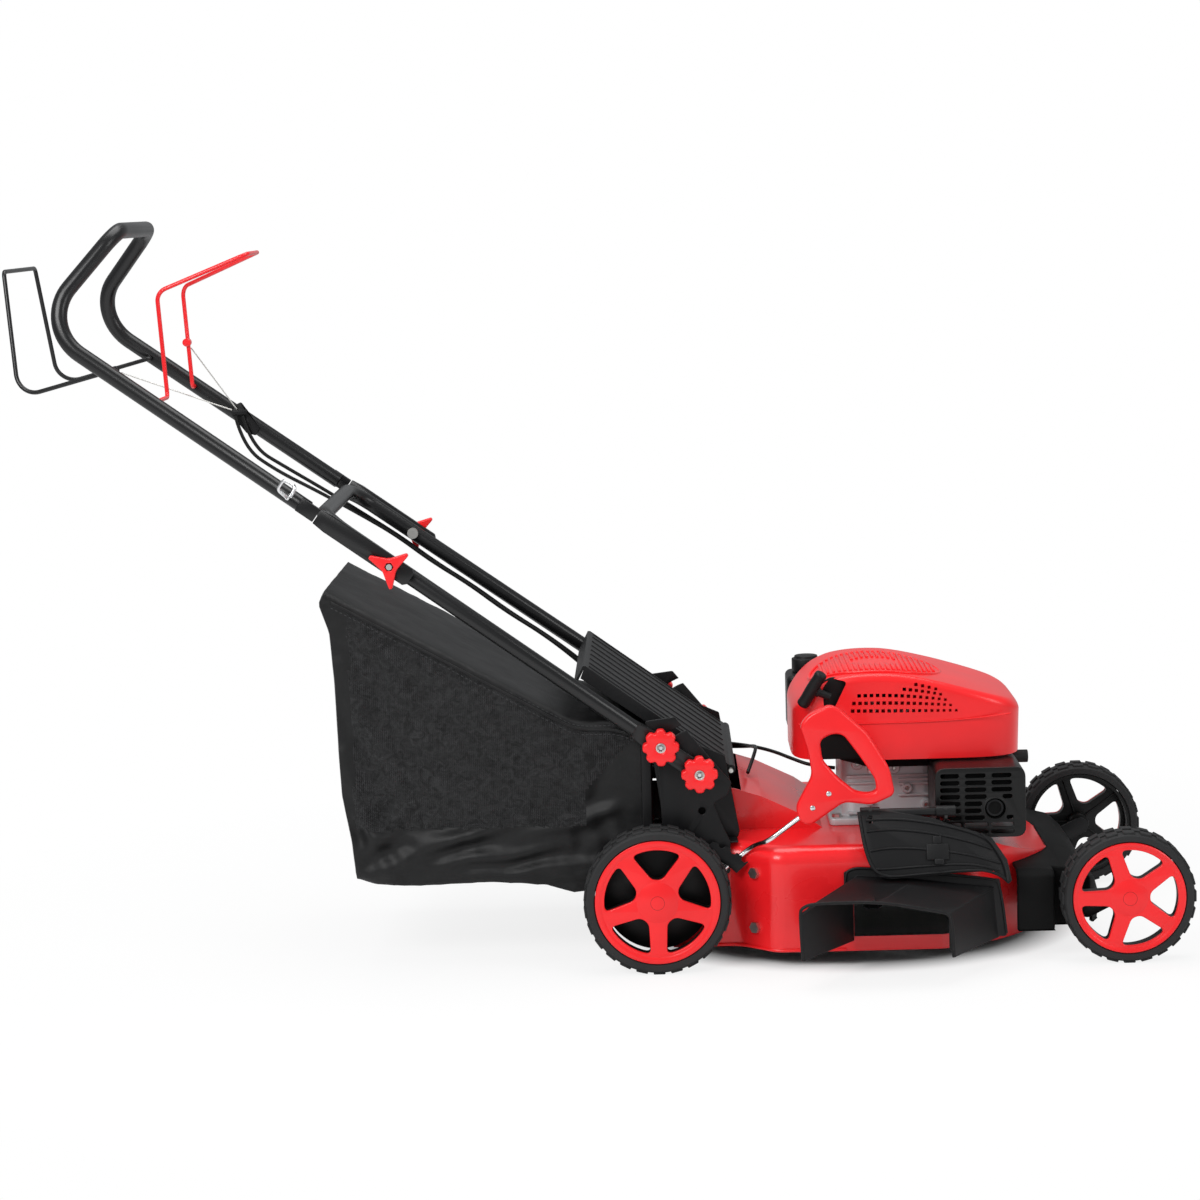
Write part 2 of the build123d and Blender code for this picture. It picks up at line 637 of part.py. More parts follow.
# Bolts of the chassis: engine, brackets, quadrant, lower corners of the deck, and the fixed
# pivot studs of the lower handle.
neck_turn = degrees(atan2(deck_half - deck_rear_half, 2 * deck_neck))
with BuildPart() as chassis_bolts:
    for x, y in engine_bolts:
        disc(x, y, bolt_r, deck_top - 12, deck_top + 11)
    with BuildSketch(Plane.XY.offset(deck_top + 10)) as engine_heads:
        with Locations(*engine_bolts):
            RegularPolygon(6.5, 6)
    extrude(engine_heads.sketch, amount=5)
    for side in (-1, 1):
        post(knob_front_x, knob_front_z, bolt_r, side * (deck_rear_half - 3), side * (knob_in + 12))
        post(knob_front_x, knob_front_z, 8, side * (deck_rear_half - 5), side * deck_rear_half)
        for x, z in ((38, 134), (90, 134)):
            post(x, z, 7, side * bracket_out, side * (bracket_out + 2.2))
    post(*notch_bolt, bolt_r, -bracket_out, -quadrant_in - quadrant_t)
    post(*notch_bolt, 6, -bracket_out, -quadrant_in)
    for z in (52, 128):
        face_x = deck_neck_x - 3
        face_y = (deck_half + deck_rear_half) / 2 + (face_x - deck_neck_x) * tan(radians(neck_turn))
        for side in (-1, 1):
            wall = Plane((face_x, side * face_y, z), z_dir=(-sin(radians(neck_turn)), side * cos(radians(neck_turn)), 0))
            with BuildSketch(wall) as head:
                RegularPolygon(8, 6)
            extrude(head.sketch, amount=5)
save(chassis_bolts, "chassis_bolts")

# Crankshaft, standing up through the crankcase.
recoil_top = recoil_z + 12
with BuildPart() as crankshaft:
    disc(crank_x, 0, shaft_r, blade_z + blade_t + 8, recoil_z - 4)
    disc(crank_x, 0, shaft_r + 8, block_top + fit, flywheel_z - seat_gap)
save(crankshaft, "crankshaft")

# Cast flywheel with its fan blades.
with BuildPart() as flywheel:
    disc(crank_x, 0, flywheel_r, flywheel_z, flywheel_z + 14)
    with Locations((crank_x, 0, flywheel_z + 24)):
        with PolarLocations(74, 18):
            Box(26, 2.5, 22)
    disc(crank_x, 0, 26, flywheel_z, flywheel_z + 36)
    disc(crank_x, 0, shaft_r + seat_gap, flywheel_z - 5, flywheel_z + 60, mode=Mode.SUBTRACT)
save(flywheel, "flywheel")

# Blade adapter: a sleeve on the shaft's lower end, with the belt pulley at its top.
with BuildPart() as blade_adapter:
    disc(crank_x, 0, 30, blade_z + blade_t, blade_z + blade_t + 7)
    disc(crank_x, 0, 17, blade_z + blade_t, pulley_z + 1)
    disc(crank_x, 0, engine_pulley_r, pulley_z, pulley_z + 4 - fit)
    disc(crank_x, 0, engine_pulley_r - 6, pulley_z, pulley_z + pulley_h)
    disc(crank_x, 0, engine_pulley_r, pulley_z + pulley_h - 4 + fit, pulley_z + pulley_h)
    disc(crank_x, 0, shaft_r + seat_gap, blade_z + blade_t + 7.5, pulley_z + pulley_h + 5, mode=Mode.SUBTRACT)
    disc(crank_x, 0, 6, blade_z - 12, blade_z + blade_t + 7.5)
    with BuildSketch(Plane.XY.offset(blade_z - 12)) as blade_nut:
        with Locations((crank_x, 0)):
            RegularPolygon(13, 6)
    extrude(blade_nut.sketch, amount=12)
save(blade_adapter, "blade_adapter")

# Steel blade with lifted tips.
with BuildPart() as blade:
    with BuildSketch(Plane.XY.offset(blade_z)) as bar:
        with Locations((crank_x, 0)):
            SlotOverall(2 * blade_r, blade_w)
            Circle(6 + seat_gap, mode=Mode.SUBTRACT)
    extrude(bar.sketch, amount=blade_t)
    for turn in (0, 180):
        with BuildSketch(Plane((crank_x, 0, 0), x_dir=(cos(radians(turn)), sin(radians(turn)), 0),
                               z_dir=(sin(radians(turn)), -cos(radians(turn)), 0)).offset(-blade_w / 2)) as lift:
            with BuildLine():
                Polyline((130, blade_z), (205, blade_z), (205, blade_z + 18), (198, blade_z + 18),
                         (130, blade_z + 2), close=True)
            make_face()
        extrude(lift.sketch, amount=14)
save(blade, "blade")

# Pulley on the gearbox's upright shaft.
with BuildPart() as gearbox_pulley:
    disc(gearbox_x, 0, gearbox_pulley_r, pulley_z, pulley_z + 4 - fit)
    disc(gearbox_x, 0, gearbox_pulley_r - 6, pulley_z, pulley_z + pulley_h)
    disc(gearbox_x, 0, gearbox_pulley_r, pulley_z + pulley_h - 4 + fit, pulley_z + pulley_h)
    disc(gearbox_x, 0, 6, gearbox_top - 28, pulley_z + 1)
save(gearbox_pulley, "gearbox_pulley")

# Drive shaft, across the mower through the gearbox.
with BuildPart() as drive_shaft:
    post(rear_arm_x, rear_arm_z, drive_shaft_r, -arm_out - 0.6, arm_out + 0.6)
save(drive_shaft, "drive_shaft")

# Starter pulley with its coil of rope, on a post inside the dome.
with BuildPart() as recoil_pulley:
    disc(crank_x, 0, recoil_r + 10, recoil_z, recoil_z + 2)
    disc(crank_x, 0, recoil_r, recoil_z, recoil_z + 10)
    disc(crank_x, 0, recoil_r + 10, recoil_z + 8, recoil_z + 10)
    disc(crank_x, 0, recoil_post_r + running, recoil_z - 1, recoil_z + 11, mode=Mode.SUBTRACT)
save(recoil_pulley, "recoil_pulley")

# Starter handle: a T bar with its stem in the housing's guide.
with BuildPart() as starter_handle:
    bent_bar([(203.5, -130, 340), (217, -139, 363), (234, -148, 391)], 8, [200])
    with BuildSketch(Plane(pull_mid, z_dir=pull_in)) as stem:
        Circle(3.5)
    extrude(stem.sketch, amount=30)
save(starter_handle, "starter_handle")

# ---- wheels and the height adjustment -----------------------------------------------
def rim(radius, ring, spoke_w, first, x, z, side):
    """Add a wheel's rim: barrel, hub, spokes and outer ring, for one side."""
    y_in = side * wheel_in
    y_out = side * (wheel_out - 2)
    hub_r = 33.0
    post(x, z, radius - seat_gap, y_in + side * 3, y_out)
    post(x, z, radius - 6, y_in, y_out + side, mode=Mode.SUBTRACT)
    post(x, z, radius - 3, y_out - side * 8, y_out)
    post(x, z, radius - ring, y_out - side * 10, y_out + side, mode=Mode.SUBTRACT)
    post(x, z, hub_r, y_out - side * 16, y_out)
    post(x, z, 15, y_in + side * 2, y_out)
    with BuildSketch(across(max(y_out - side * 4, y_out - side * 14))) as star:
        with Locations((x, z)):
            with PolarLocations((hub_r + radius - ring) / 2, spokes, first):
                Rectangle(radius - ring - hub_r + 8, spoke_w)
    extrude(star.sketch, amount=10)
    post(x, z, stub_r + running, y_in - side * 5, y_out + side * 5, mode=Mode.SUBTRACT)


def tyre(radius, inside, lugs, x, z, side):
    """Add a tyre with flat lugs, one of them flat on the ground."""
    base = radius - lug_height
    y_in = side * wheel_in
    y_out = side * wheel_out
    lug_w = 2 * pi * radius / lugs * 0.6
    with BuildSketch(across(max(y_in, y_out))) as carcass:
        with Locations((x, z)):
            Circle(base)
            with PolarLocations(radius - 3, lugs, 270):
                Rectangle(6, lug_w)
            Circle(inside, mode=Mode.SUBTRACT)
    extrude(carcass.sketch, amount=wheel_width)


WHEELS = []
for side_name, side in SIDES:
    with BuildPart() as rim_rear:
        rim(rear_rim_r, 12.5, 24, 270, 0, rear_tyre_r, side)
    save(rim_rear, f"rim_rear_{side_name}")
    with BuildPart() as tyre_rear:
        tyre(rear_tyre_r, rear_rim_r, rear_lugs, 0, rear_tyre_r, side)
    save(tyre_rear, f"tyre_rear_{side_name}")
    with BuildPart() as rim_front:
        rim(front_rim_r, 10, 21, 180, wheelbase, front_tyre_r, side)
    save(rim_front, f"rim_front_{side_name}")
    with BuildPart() as tyre_front:
        tyre(front_tyre_r, front_rim_r, front_lugs, wheelbase, front_tyre_r, side)
    save(tyre_front, f"tyre_front_{side_name}")


def arm(pivot_x, pivot_z, axle_x, axle_z, side):
    """Add a height arm from its pivot to a stub axle."""
    with BuildSketch(across(max(side * arm_in, side * arm_out))) as plate:
        with Locations(((pivot_x + axle_x) / 2, (pivot_z + axle_z) / 2)):
            SlotCenterToCenter(arm_length, arm_h, degrees(atan2(axle_z - pivot_z, axle_x - pivot_x)))
    extrude(plate.sketch, amount=arm_t)
    post(axle_x, axle_z, stub_r, side * arm_in, side * (wheel_out + 2))
    post(axle_x, axle_z, 10, side * (wheel_out - 2 + fit), side * (wheel_out + 3))
    post(axle_x, axle_z, 10, side * arm_out, side * (wheel_in + 2 - fit))


# Steel height arms of the rear wheels: joined by a cross tube, turning on the drive shaft.
rear_link = turned(rear_arm_x, rear_arm_z, link_crank, link_angle)
front_link = turned(front_arm_x, front_arm_z, link_crank, -link_angle)
link_y = arm_in - fit - link_r
lever_root = (60.0, 110.0)
lever_y = -204.2
with BuildPart() as rear_axle:
    for side in (-1, 1):
        arm(rear_arm_x, rear_arm_z, 0, rear_tyre_r, side)
    post(0, rear_tyre_r, cross_tube_r, -arm_in, arm_in)
    slab([(40, 92), (54, 124), (68, 120), (62, 76)], -arm_out, -arm_in, 4)
    slab([(44, 88), (54, 100), (66, 98), (62, 78)], arm_out, arm_in, 4)
    post(rear_link[0], rear_link[1], 3, link_y - link_r, arm_out)
    bent_bar([(lever_root[0], lever_y, lever_root[1]), (78, lever_y, 123.4), (97.3, lever_y, 137.2)],
             3.5 + seat_gap, [500], mode=Mode.SUBTRACT)
    for side in (-1, 1):
        post(rear_arm_x, rear_arm_z, drive_shaft_r + running, side * (arm_in - 1), side * (arm_out + 1),
             mode=Mode.SUBTRACT)
save(rear_axle, "rear_axle")

# Black dust covers inside the rear wheels.
with BuildPart() as gear_covers:
    for side in (-1, 1):
        post(0, rear_tyre_r, 74, side * (arm_out + 2.8), side * (wheel_in + 2.4))
        post(0, rear_tyre_r, 71, side * (arm_out - 1), side * (wheel_in + 0.4), mode=Mode.SUBTRACT)
        post(26, 88, 5, side * arm_out, side * (wheel_in + 1))
        post(0, rear_tyre_r, 17, side * (arm_out - 1), side * (wheel_in + 4), mode=Mode.SUBTRACT)
save(gear_covers, "gear_covers")

# Steel height arms of the front wheels, on a cross tube that turns in the deck's ears.
with BuildPart() as front_axle:
    for side in (-1, 1):
        arm(front_arm_x, front_arm_z, wheelbase, front_tyre_r, side)
    slab(
        [(front_arm_x - 9.89, 58), (front_arm_x + 10.11, 72), (front_arm_x + 20.11, 44),
         (front_arm_x + 2.11, 36)],
        arm_out, arm_in, 4,
    )
    post(front_link[0], front_link[1], 3, arm_out, link_y - link_r - 1)
    post(front_arm_x, front_arm_z, cross_tube_r, -arm_in, link_y - link_r - 2 * fit)
    post(front_arm_x, front_arm_z, cross_neck_r, link_y - link_r - 3, arm_in)
save(front_axle, "front_axle")

# Steel link rod along the left side of the deck: its front eye has play on its pin.
link_out = 244.0
link_hole = 8.0
with BuildPart() as link_rod:
    bent_bar(
        [(rear_link[0] + 6, link_y, rear_link[1]), (105, link_y, 89), (152, link_out, 85),
         (445, link_out, 58), (494, link_y, 53), (front_link[0] - link_hole - 1.5, link_y, front_link[1])],
        link_r, [20, 20, 20, 20],
    )
    post(rear_link[0], rear_link[1], 7, link_y - link_r + 0.5, link_y + link_r - 0.5)
    post(front_link[0], front_link[1], link_hole + 3, link_y - link_r + 0.5, link_y + link_r - 0.5)
    post(rear_link[0], rear_link[1], 3 + running, link_y - 9, link_y + 9, mode=Mode.SUBTRACT)
    post(front_link[0], front_link[1], link_hole, link_y - 9, link_y + 9, mode=Mode.SUBTRACT)
save(link_rod, "link_rod")

# Height lever: a steel rod from the rear arm, bent out round the tyre, with a black grip.
lever_out = -241.0
lever_tip = (232.0, 235.0)
with BuildPart() as height_lever:
    bent_bar(
        [(lever_root[0], lever_y, lever_root[1]), (97.3, lever_y, 137.2), (126, lever_y, 158.5),
         (149, lever_out, 176), (198.6, lever_out, 211.5), (lever_tip[0], lever_out, lever_tip[1])],
        3.5, [200, 20, 20, 300],
    )
save(height_lever, "height_lever")

grip_edge = [(235, 358.5), (212, 347), (199.7, 333), (209.7, 298.7), (214.5, 267.2), (192, 225.4),
             (198, 206), (210.4, 201.6), (254, 232), (290, 227), (319, 240), (312.4, 274), (285, 321),
             (249.6, 353.4)]
finger_edge = [(226, 310.5), (241.7, 319.6), (255.6, 318), (272.6, 294.3), (293.4, 262.3),
               (295.3, 247.3), (285.7, 243.4), (269, 245.8), (247.9, 263.6), (229, 286)]
with BuildPart() as lever_grip:
    slab(grip_edge, lever_out - 9, lever_out + 9, 3)
    slab(finger_edge, lever_out - 12, lever_out + 12, 2, mode=Mode.SUBTRACT)
    bent_bar([(190, lever_out, 205.3), (198.6, lever_out, 211.5), (lever_tip[0], lever_out, lever_tip[1])],
             3.5 + seat_gap, [300], mode=Mode.SUBTRACT)
save(lever_grip, "lever_grip")

# ---- handles ------------------------------------------------------------------------
# Lower handle: one bent steel tube, flattened at its two ends, bolted to the brackets.
crossbar_z = handle_z(crossbar_x)
with BuildPart() as lower_handle:
    bent_bar(
        [(lower_end_x, -lower_end_y, handle_z(lower_end_x)), (crossbar_x, -crossbar_y, crossbar_z),
         (crossbar_x, crossbar_y, crossbar_z), (lower_end_x, lower_end_y, handle_z(lower_end_x))],
        tube_r, [crossbar_r, crossbar_r], tube_r - tube_wall,
    )
    for side in (-1, 1):
        y_mid = side * lower_end_y
        with BuildSketch(across(y_mid + flat_t / 2)) as flat:
            with BuildLine():
                Polyline(
                    along_handle(knob_front_x, -15, 6), along_handle(knob_front_x, -8, 13),
                    along_handle(knob_front_x, 82, 13), along_handle(knob_front_x, 118, 10),
                    along_handle(knob_front_x, 118, -10), along_handle(knob_front_x, 82, -13),
                    along_handle(knob_front_x, -8, -13), along_handle(knob_front_x, -15, -6), close=True)
            make_face()
        extrude(flat.sketch, amount=flat_t)
        for x, z in ((knob_front_x, knob_front_z), (knob_rear_x, knob_rear_z)):
            post(x, z, bolt_r + running, y_mid - 14, y_mid + 14, mode=Mode.SUBTRACT)
        post(wing_x, wing_z, bolt_r + seat_gap, side * 160, side * 230, mode=Mode.SUBTRACT)
save(lower_handle, "lower_handle")

# Bolts that move with the lower handle: lock bolts at the brackets and wing bolts.
wing_out = upper_flat_y + flat_t
with BuildPart() as handle_bolts:
    for side in (-1, 1):
        post(knob_rear_x, knob_rear_z, bolt_r, side * (deck_rear_half - 3), side * (knob_in + 12))
        post(knob_rear_x, knob_rear_z, 8, side * (deck_rear_half - 5), side * (deck_rear_half - fit))
        post(wing_x, wing_z, bolt_r, side * (lower_top_y - tube_r - 3), side * (wing_out + 18))
        post(wing_x, wing_z, 8, side * (lower_top_y - tube_r - 6), side * (lower_top_y - tube_r - 1))
save(handle_bolts, "handle_bolts")

# Upper handle: a steel tube with flattened, joggled lower ends and a grip loop at the top.
with BuildPart() as upper_handle:
    bent_bar(
        [(upper_start_x, -upper_y, handle_z(upper_start_x)), (grip_x, -grip_y, handle_z(grip_x)),
         (top_x, -top_y, top_z), (top_x, top_y, top_z), (grip_x, grip_y, handle_z(grip_x)),
         (upper_start_x, upper_y, handle_z(upper_start_x))],
        tube_r, [grip_bend_r, top_bend_r, top_bend_r, grip_bend_r], tube_r - tube_wall,
    )
    for side in (-1, 1):
        flat_in = side * upper_flat_y
        flat_out = side * wing_out
        slab(
            [along_handle(wing_x, -33, 8), along_handle(wing_x, -28, 13), along_handle(wing_x, 100, 13),
             along_handle(wing_x, 118, 11), along_handle(wing_x, 118, -11), along_handle(wing_x, 100, -13),
             along_handle(wing_x, -28, -13), along_handle(wing_x, -33, -8)],
            flat_in, flat_out,
        )
        with BuildSketch(Plane(
            (upper_start_x, side * upper_y, handle_z(upper_start_x)),
            x_dir=(0, 1, 0), z_dir=(-cos(radians(handle_angle - 180)), 0, -sin(radians(handle_angle - 180))),
        )) as joggle:
            with Locations((side * (upper_flat_y + flat_t / 2 - upper_y), 0)):
                Rectangle(flat_t, 20)
        extrude(joggle.sketch, amount=14, both=True)
        post(wing_x, wing_z, bolt_r + running, flat_in - side * 5, flat_out + side * 5, mode=Mode.SUBTRACT)
        stop_leg = upper_y - (upper_y - grip_y) * (upper_start_x - stop_x) / (upper_start_x - grip_x)
        drive_leg = upper_y - (upper_y - grip_y) * (upper_start_x - drive_x) / (upper_start_x - grip_x)
        post(stop_x, stop_z, bail_r + running, side * (stop_leg - 20), side * stop_leg, mode=Mode.SUBTRACT)
        post(drive_x, drive_z, bail_r + running, side * (drive_leg - 20), side * drive_leg,
             mode=Mode.SUBTRACT)
save(upper_handle, "upper_handle")
stop_end = stop_leg - tube_r + tube_wall + bail_grip
drive_end = drive_leg - tube_r + tube_wall + bail_grip

# Stop bail: a bent steel rod, its left leg close to the tube and its right leg well inside.
with BuildPart() as stop_bail:
    bent_bar(
        [(stop_x, -stop_end, stop_z), (stop_x, -60, stop_z), (-668, -60, 932), (-541.5, -55, 981),
         (-541.5, 55, 981), (-668, 166, 932), (stop_x, 166, stop_z), (stop_x, stop_end, stop_z)],
        bail_r, [8, 18, 10, 10, 18, 7],
    )
    post(-665, 852, 6, 160, 172)
save(stop_bail, "stop_bail")

# Drive bail: a bent steel rod hung under the grip, with a short tail beside its right pivot.
with BuildPart() as drive_bail:
    bent_bar(
        [(drive_x, -drive_end, drive_z), (drive_x, -172, drive_z), (-850, -138, 797),
         (-868.6, -103, 967), (-868.6, 103, 967), (-850, 138, 797), (drive_x, 172, drive_z),
         (drive_x, drive_end, drive_z)],
        bail_r, [5, 30, 10, 10, 30, 5],
    )
    post(-771, 815, 6, 150, 162)
save(drive_bail, "drive_bail")

# Steel bracket for the cables on the left leg, and the rope eyelet on the right leg.
bracket_x = -584.5
bracket_leg = upper_y - (upper_y - grip_y) * (upper_start_x - bracket_x) / (upper_start_x - grip_x)
cable_y = bracket_leg - tube_r - 3.2
with BuildPart() as cable_bracket:
    slab([(-603, 757), (-592, 762), (-566, 724), (-572, 712), (-586, 716), (-606, 742)],
         cable_y, cable_y + 2, 3)
    post(bracket_x, 731.6, 3, cable_y - 1.6, bracket_leg - tube_r - seat_gap)
    block(-606, -584, cable_y - 8, cable_y + 1, 744, 750)
save(cable_bracket, "cable_bracket")

guide_x = -480.0
guide_leg = upper_y - (upper_y - grip_y) * (upper_start_x - guide_x) / (upper_start_x - grip_x)
guide_z = handle_z(guide_x)
with BuildPart() as rope_guide:
    post(guide_x, guide_z, 3, -guide_leg - tube_r - 14, -guide_leg - tube_r - seat_gap)
    bent_bar(
        [(guide_x, -guide_leg - tube_r - 12, guide_z), (guide_x - 12, -guide_leg - tube_r - 16, guide_z + 12),
         (guide_x - 2, -guide_leg - tube_r - 20, guide_z + 26),
         (guide_x + 14, -guide_leg - tube_r - 24, guide_z + 16),
         (guide_x + 6, -guide_leg - tube_r - 28, guide_z + 2)],
        2.5, [6, 7, 7],
    )
save(rope_guide, "rope_guide")

# Inner wires from the bails to the cable bracket.
with BuildPart() as bail_wires:
    with BuildSketch(Plane((-660, 168, 844), z_dir=(63, 8, -94))) as stop_wire:
        Circle(0.9)
    extrude(stop_wire.sketch, amount=111)
    with BuildSketch(Plane((-763, 160, 811), z_dir=(160, 16, -61))) as drive_wire:
        Circle(0.9)
    extrude(drive_wire.sketch, amount=169)
save(bail_wires, "bail_wires")

# Sheathed control cables, held under the left tube from the bracket down to the engine.
def below(x, y, drop):
    """Point under the left leg, at a distance below the handle's line."""
    spot = along_handle(x, 0, -drop)
    return (spot[0], y, spot[1])


stop_route = [(-590, 175, 742), below(-563, 175, 27), below(-515, 184, 25), below(-460, 188, 21),
              below(-409, 188, 18.5), below(-356, 188, 16), below(-304, 187.6, 18.5),
              below(-251, 188, 16), below(-197, 188.4, 18.5), below(-143, 188, 16),
              below(-90, 187.8, 19), below(-38, 187.5, 27), (2, 186.5, 286), (48, 184, 250), (96, 180, 236),
              (138, 160, 234), (172, 124, 232), (200, 88, 226), (228, 70, 218), (261, 66, 215)]
drive_route = [(-600, 170, 742), below(-570, 170, 34), below(-523, 177, 36), below(-470, 181, 28),
               below(-418, 182, 22), below(-364, 182, 17), below(-311, 181.8, 20), below(-258, 182, 17),
               below(-204, 182.2, 20), below(-150, 182, 17), below(-97, 181.8, 21), below(-46, 181.6, 31),
               (-4, 181, 279), (42, 180, 243), (100, 181, 229), (135, 161, 232), (146, 122, 240),
               (148, 82, 246), (143, 42, 240), (133, 12, 222)]


def cable(route, radius):
    """Add a sheath whose arcs are as large as its runs allow, and print their radii."""
    bends = []
    for a, b, c in zip(route, route[1:], route[2:]):
        before = Vector(*b) - Vector(*a)
        after = Vector(*c) - Vector(*b)
        turn = radians(before.get_angle(after))
        bends.append(0.45 * min(before.length, after.length) / tan(turn / 2))
    bent_bar(route, radius, bends)
    print("cable radii", [round(bend) for bend in bends])


with BuildPart() as control_cables:
    cable(stop_route, 2.5)
    cable(drive_route, 2.5)
save(control_cables, "control_cables")


def knob(x, z, y_in, lobes, radius, thickness, side):
    """Add a lobed plastic knob with a threaded bore."""
    with BuildSketch(across(max(side * y_in, side * (y_in + thickness)))) as lobed:
        with Locations((x, z)):
            Circle(radius * 0.8)
            with PolarLocations(radius * 0.81, lobes, 90):
                Circle(radius * 0.19)
    extrude(lobed.sketch, amount=thickness)
    post(x, z, bolt_r + seat_gap, side * (y_in - 1), side * (y_in + thickness * 0.75), mode=Mode.SUBTRACT)


for side_name, side in SIDES:
    with BuildPart() as star_knob_rear:
        knob(knob_rear_x, knob_rear_z, knob_in, knob_lobes, knob_r, knob_t, side)
    save(star_knob_rear, f"star_knob_rear_{side_name}")
    with BuildPart() as star_knob_front:
        knob(knob_front_x, knob_front_z, knob_in, knob_lobes, knob_r, knob_t, side)
    save(star_knob_front, f"star_knob_front_{side_name}")
    with BuildPart() as wing_knob:
        y_in = side * (wing_out + fit)
        post(wing_x, wing_z, 11, y_in, y_in + side * 10)
        with BuildSketch(across(max(y_in + side * 6, y_in + side * 18))) as wings:
            with BuildLine():
                Polyline(*[turned(wing_x, wing_z, wing_knob_r if step % 2 == 0 else wing_valley_r, 32 + 60 * step)
                           for step in range(6)], close=True)
            make_face()
            fillet(wings.vertices().sort_by_distance((wing_x, wing_z))[-3:], 3)
        extrude(wings.sketch, amount=12)
        post(wing_x, wing_z, bolt_r + seat_gap, y_in - side, y_in + side * 19, mode=Mode.SUBTRACT)
    save(wing_knob, f"wing_knob_{side_name}")

# ---- flap, door and bag -------------------------------------------------------------
flap_tip = turned(flap_x, flap_z, flap_length, flap_angle)


def on_flap(length, rise):
    """Point a length up the flap and a rise above its middle."""
    start = turned(flap_x, flap_z, length, flap_angle)
    return turned(start[0], start[1], rise, flap_angle - 90)


# Black plastic flap over the bag's mouth, turning on its rod, with a turned-down lip.
with BuildPart() as rear_flap:
    slab([on_flap(2, 4), on_flap(flap_length, 4), on_flap(flap_length, 4 - flap_t), on_flap(2, 4 - flap_t)],
         -flap_half, flap_half)
    slab([on_flap(flap_length, 4), on_flap(flap_length + 3, 2), on_flap(flap_length - 2, -28),
          on_flap(flap_length - 5, -28)], -flap_half, flap_half)
    post(flap_x, flap_z, 6.5, -flap_half, flap_half)
    for side in (-1, 1):
        slab([on_flap(20, 2), on_flap(flap_length, 2), on_flap(flap_length - 4, -14), on_flap(40, -10)],
             side * flap_half, side * (flap_half - 3))
    post(flap_x, flap_z, hinge_rod_r + running, -200, 200, mode=Mode.SUBTRACT)
save(rear_flap, "rear_flap")

# Black plastic door over the side opening, hung on its rod and resting over the chute.
door_edge = [(272, 211), (306, 213), (371, 202), (432, 182), (452, 174), (471, 146), (476, 120),
             (471, 115), (452, 132), (404, 131), (357, 128), (314, 125), (299, 127), (287, 140)]
with BuildPart() as side_door:
    with BuildSketch(across(door_y - 60)) as door_outline:
        with BuildLine():
            Polyline(*door_edge, close=True)
        make_face()
    extrude(door_outline.sketch, amount=-80)
    with BuildSketch(Plane.YZ.offset(250)) as lean:
        with BuildLine():
            Polyline((door_y - 5, door_z + 8), (door_y - 1, door_z + 8), (door_y - 37, 118),
                     (door_y - 37, 100), (door_y - 41, 100), (door_y - 41, 118), close=True)
        make_face()
    extrude(lean.sketch, amount=250, mode=Mode.INTERSECT)
    for x in door_ears:
        block(x - 2.5, x + 2.5, door_y - 12, door_y + 10, door_z - 14, door_z + 12, mode=Mode.SUBTRACT)
    rod_x(door_y, door_z, 6, door_ears[0] + 8, door_ears[1] - 8)
    rod_x(door_y, door_z, hinge_rod_r + running, 260, 420, mode=Mode.SUBTRACT)
save(side_door, "side_door")

# Grass bag: fabric with an open mouth.
bag_edge = [(bag_mouth_x, 120), (bag_mouth_x, 322), (-442, 558), (-451, 527), (-438, 500), (-434, 432),
            (-432, 321), (-430, 252), (-419, 182), (-411, 137), (-408, 122), (-388, 115), (-326, 110),
            (-229, 110), (-154, 104), (-114, 92), (-60, 98)]
with BuildPart() as bag_fabric:
    slab(bag_edge, -bag_half, bag_half)
    fillet(edges().filter_by(lambda edge: edge.length > 450 and abs(edge.tangent_at(0.5).Y) < 0.1), 14)
    slab([(bag_mouth_x + 1, 130), (bag_mouth_x + 1, 312), (-428, 541), (-438, 520), (-430, 500),
          (-427, 321), (-424, 252), (-413, 182), (-404, 137), (-400, 128), (-326, 116), (-229, 116),
          (-154, 110), (-114, 99), (-64, 105)], -bag_half + bag_wall, bag_half - bag_wall,
         mode=Mode.SUBTRACT)
save(bag_fabric, "bag_fabric")

# Steel and plastic frame round the bag's mouth that hangs behind the mower.
mouth = (bag_mouth_x + fit, bag_mouth_x + 14)
with BuildPart() as bag_frame:
    block(*mouth, -bag_half + 2, bag_half - 2, 122, 318)
    block(mouth[0] - 1, mouth[1] + 1, -bag_half + 12, bag_half - 12, 132, 306, mode=Mode.SUBTRACT)
    for side in (-1, 1):
        block(mouth[1] - 1, 13, side * 150, side * 158, 280, 290)
save(bag_frame, "bag_frame")
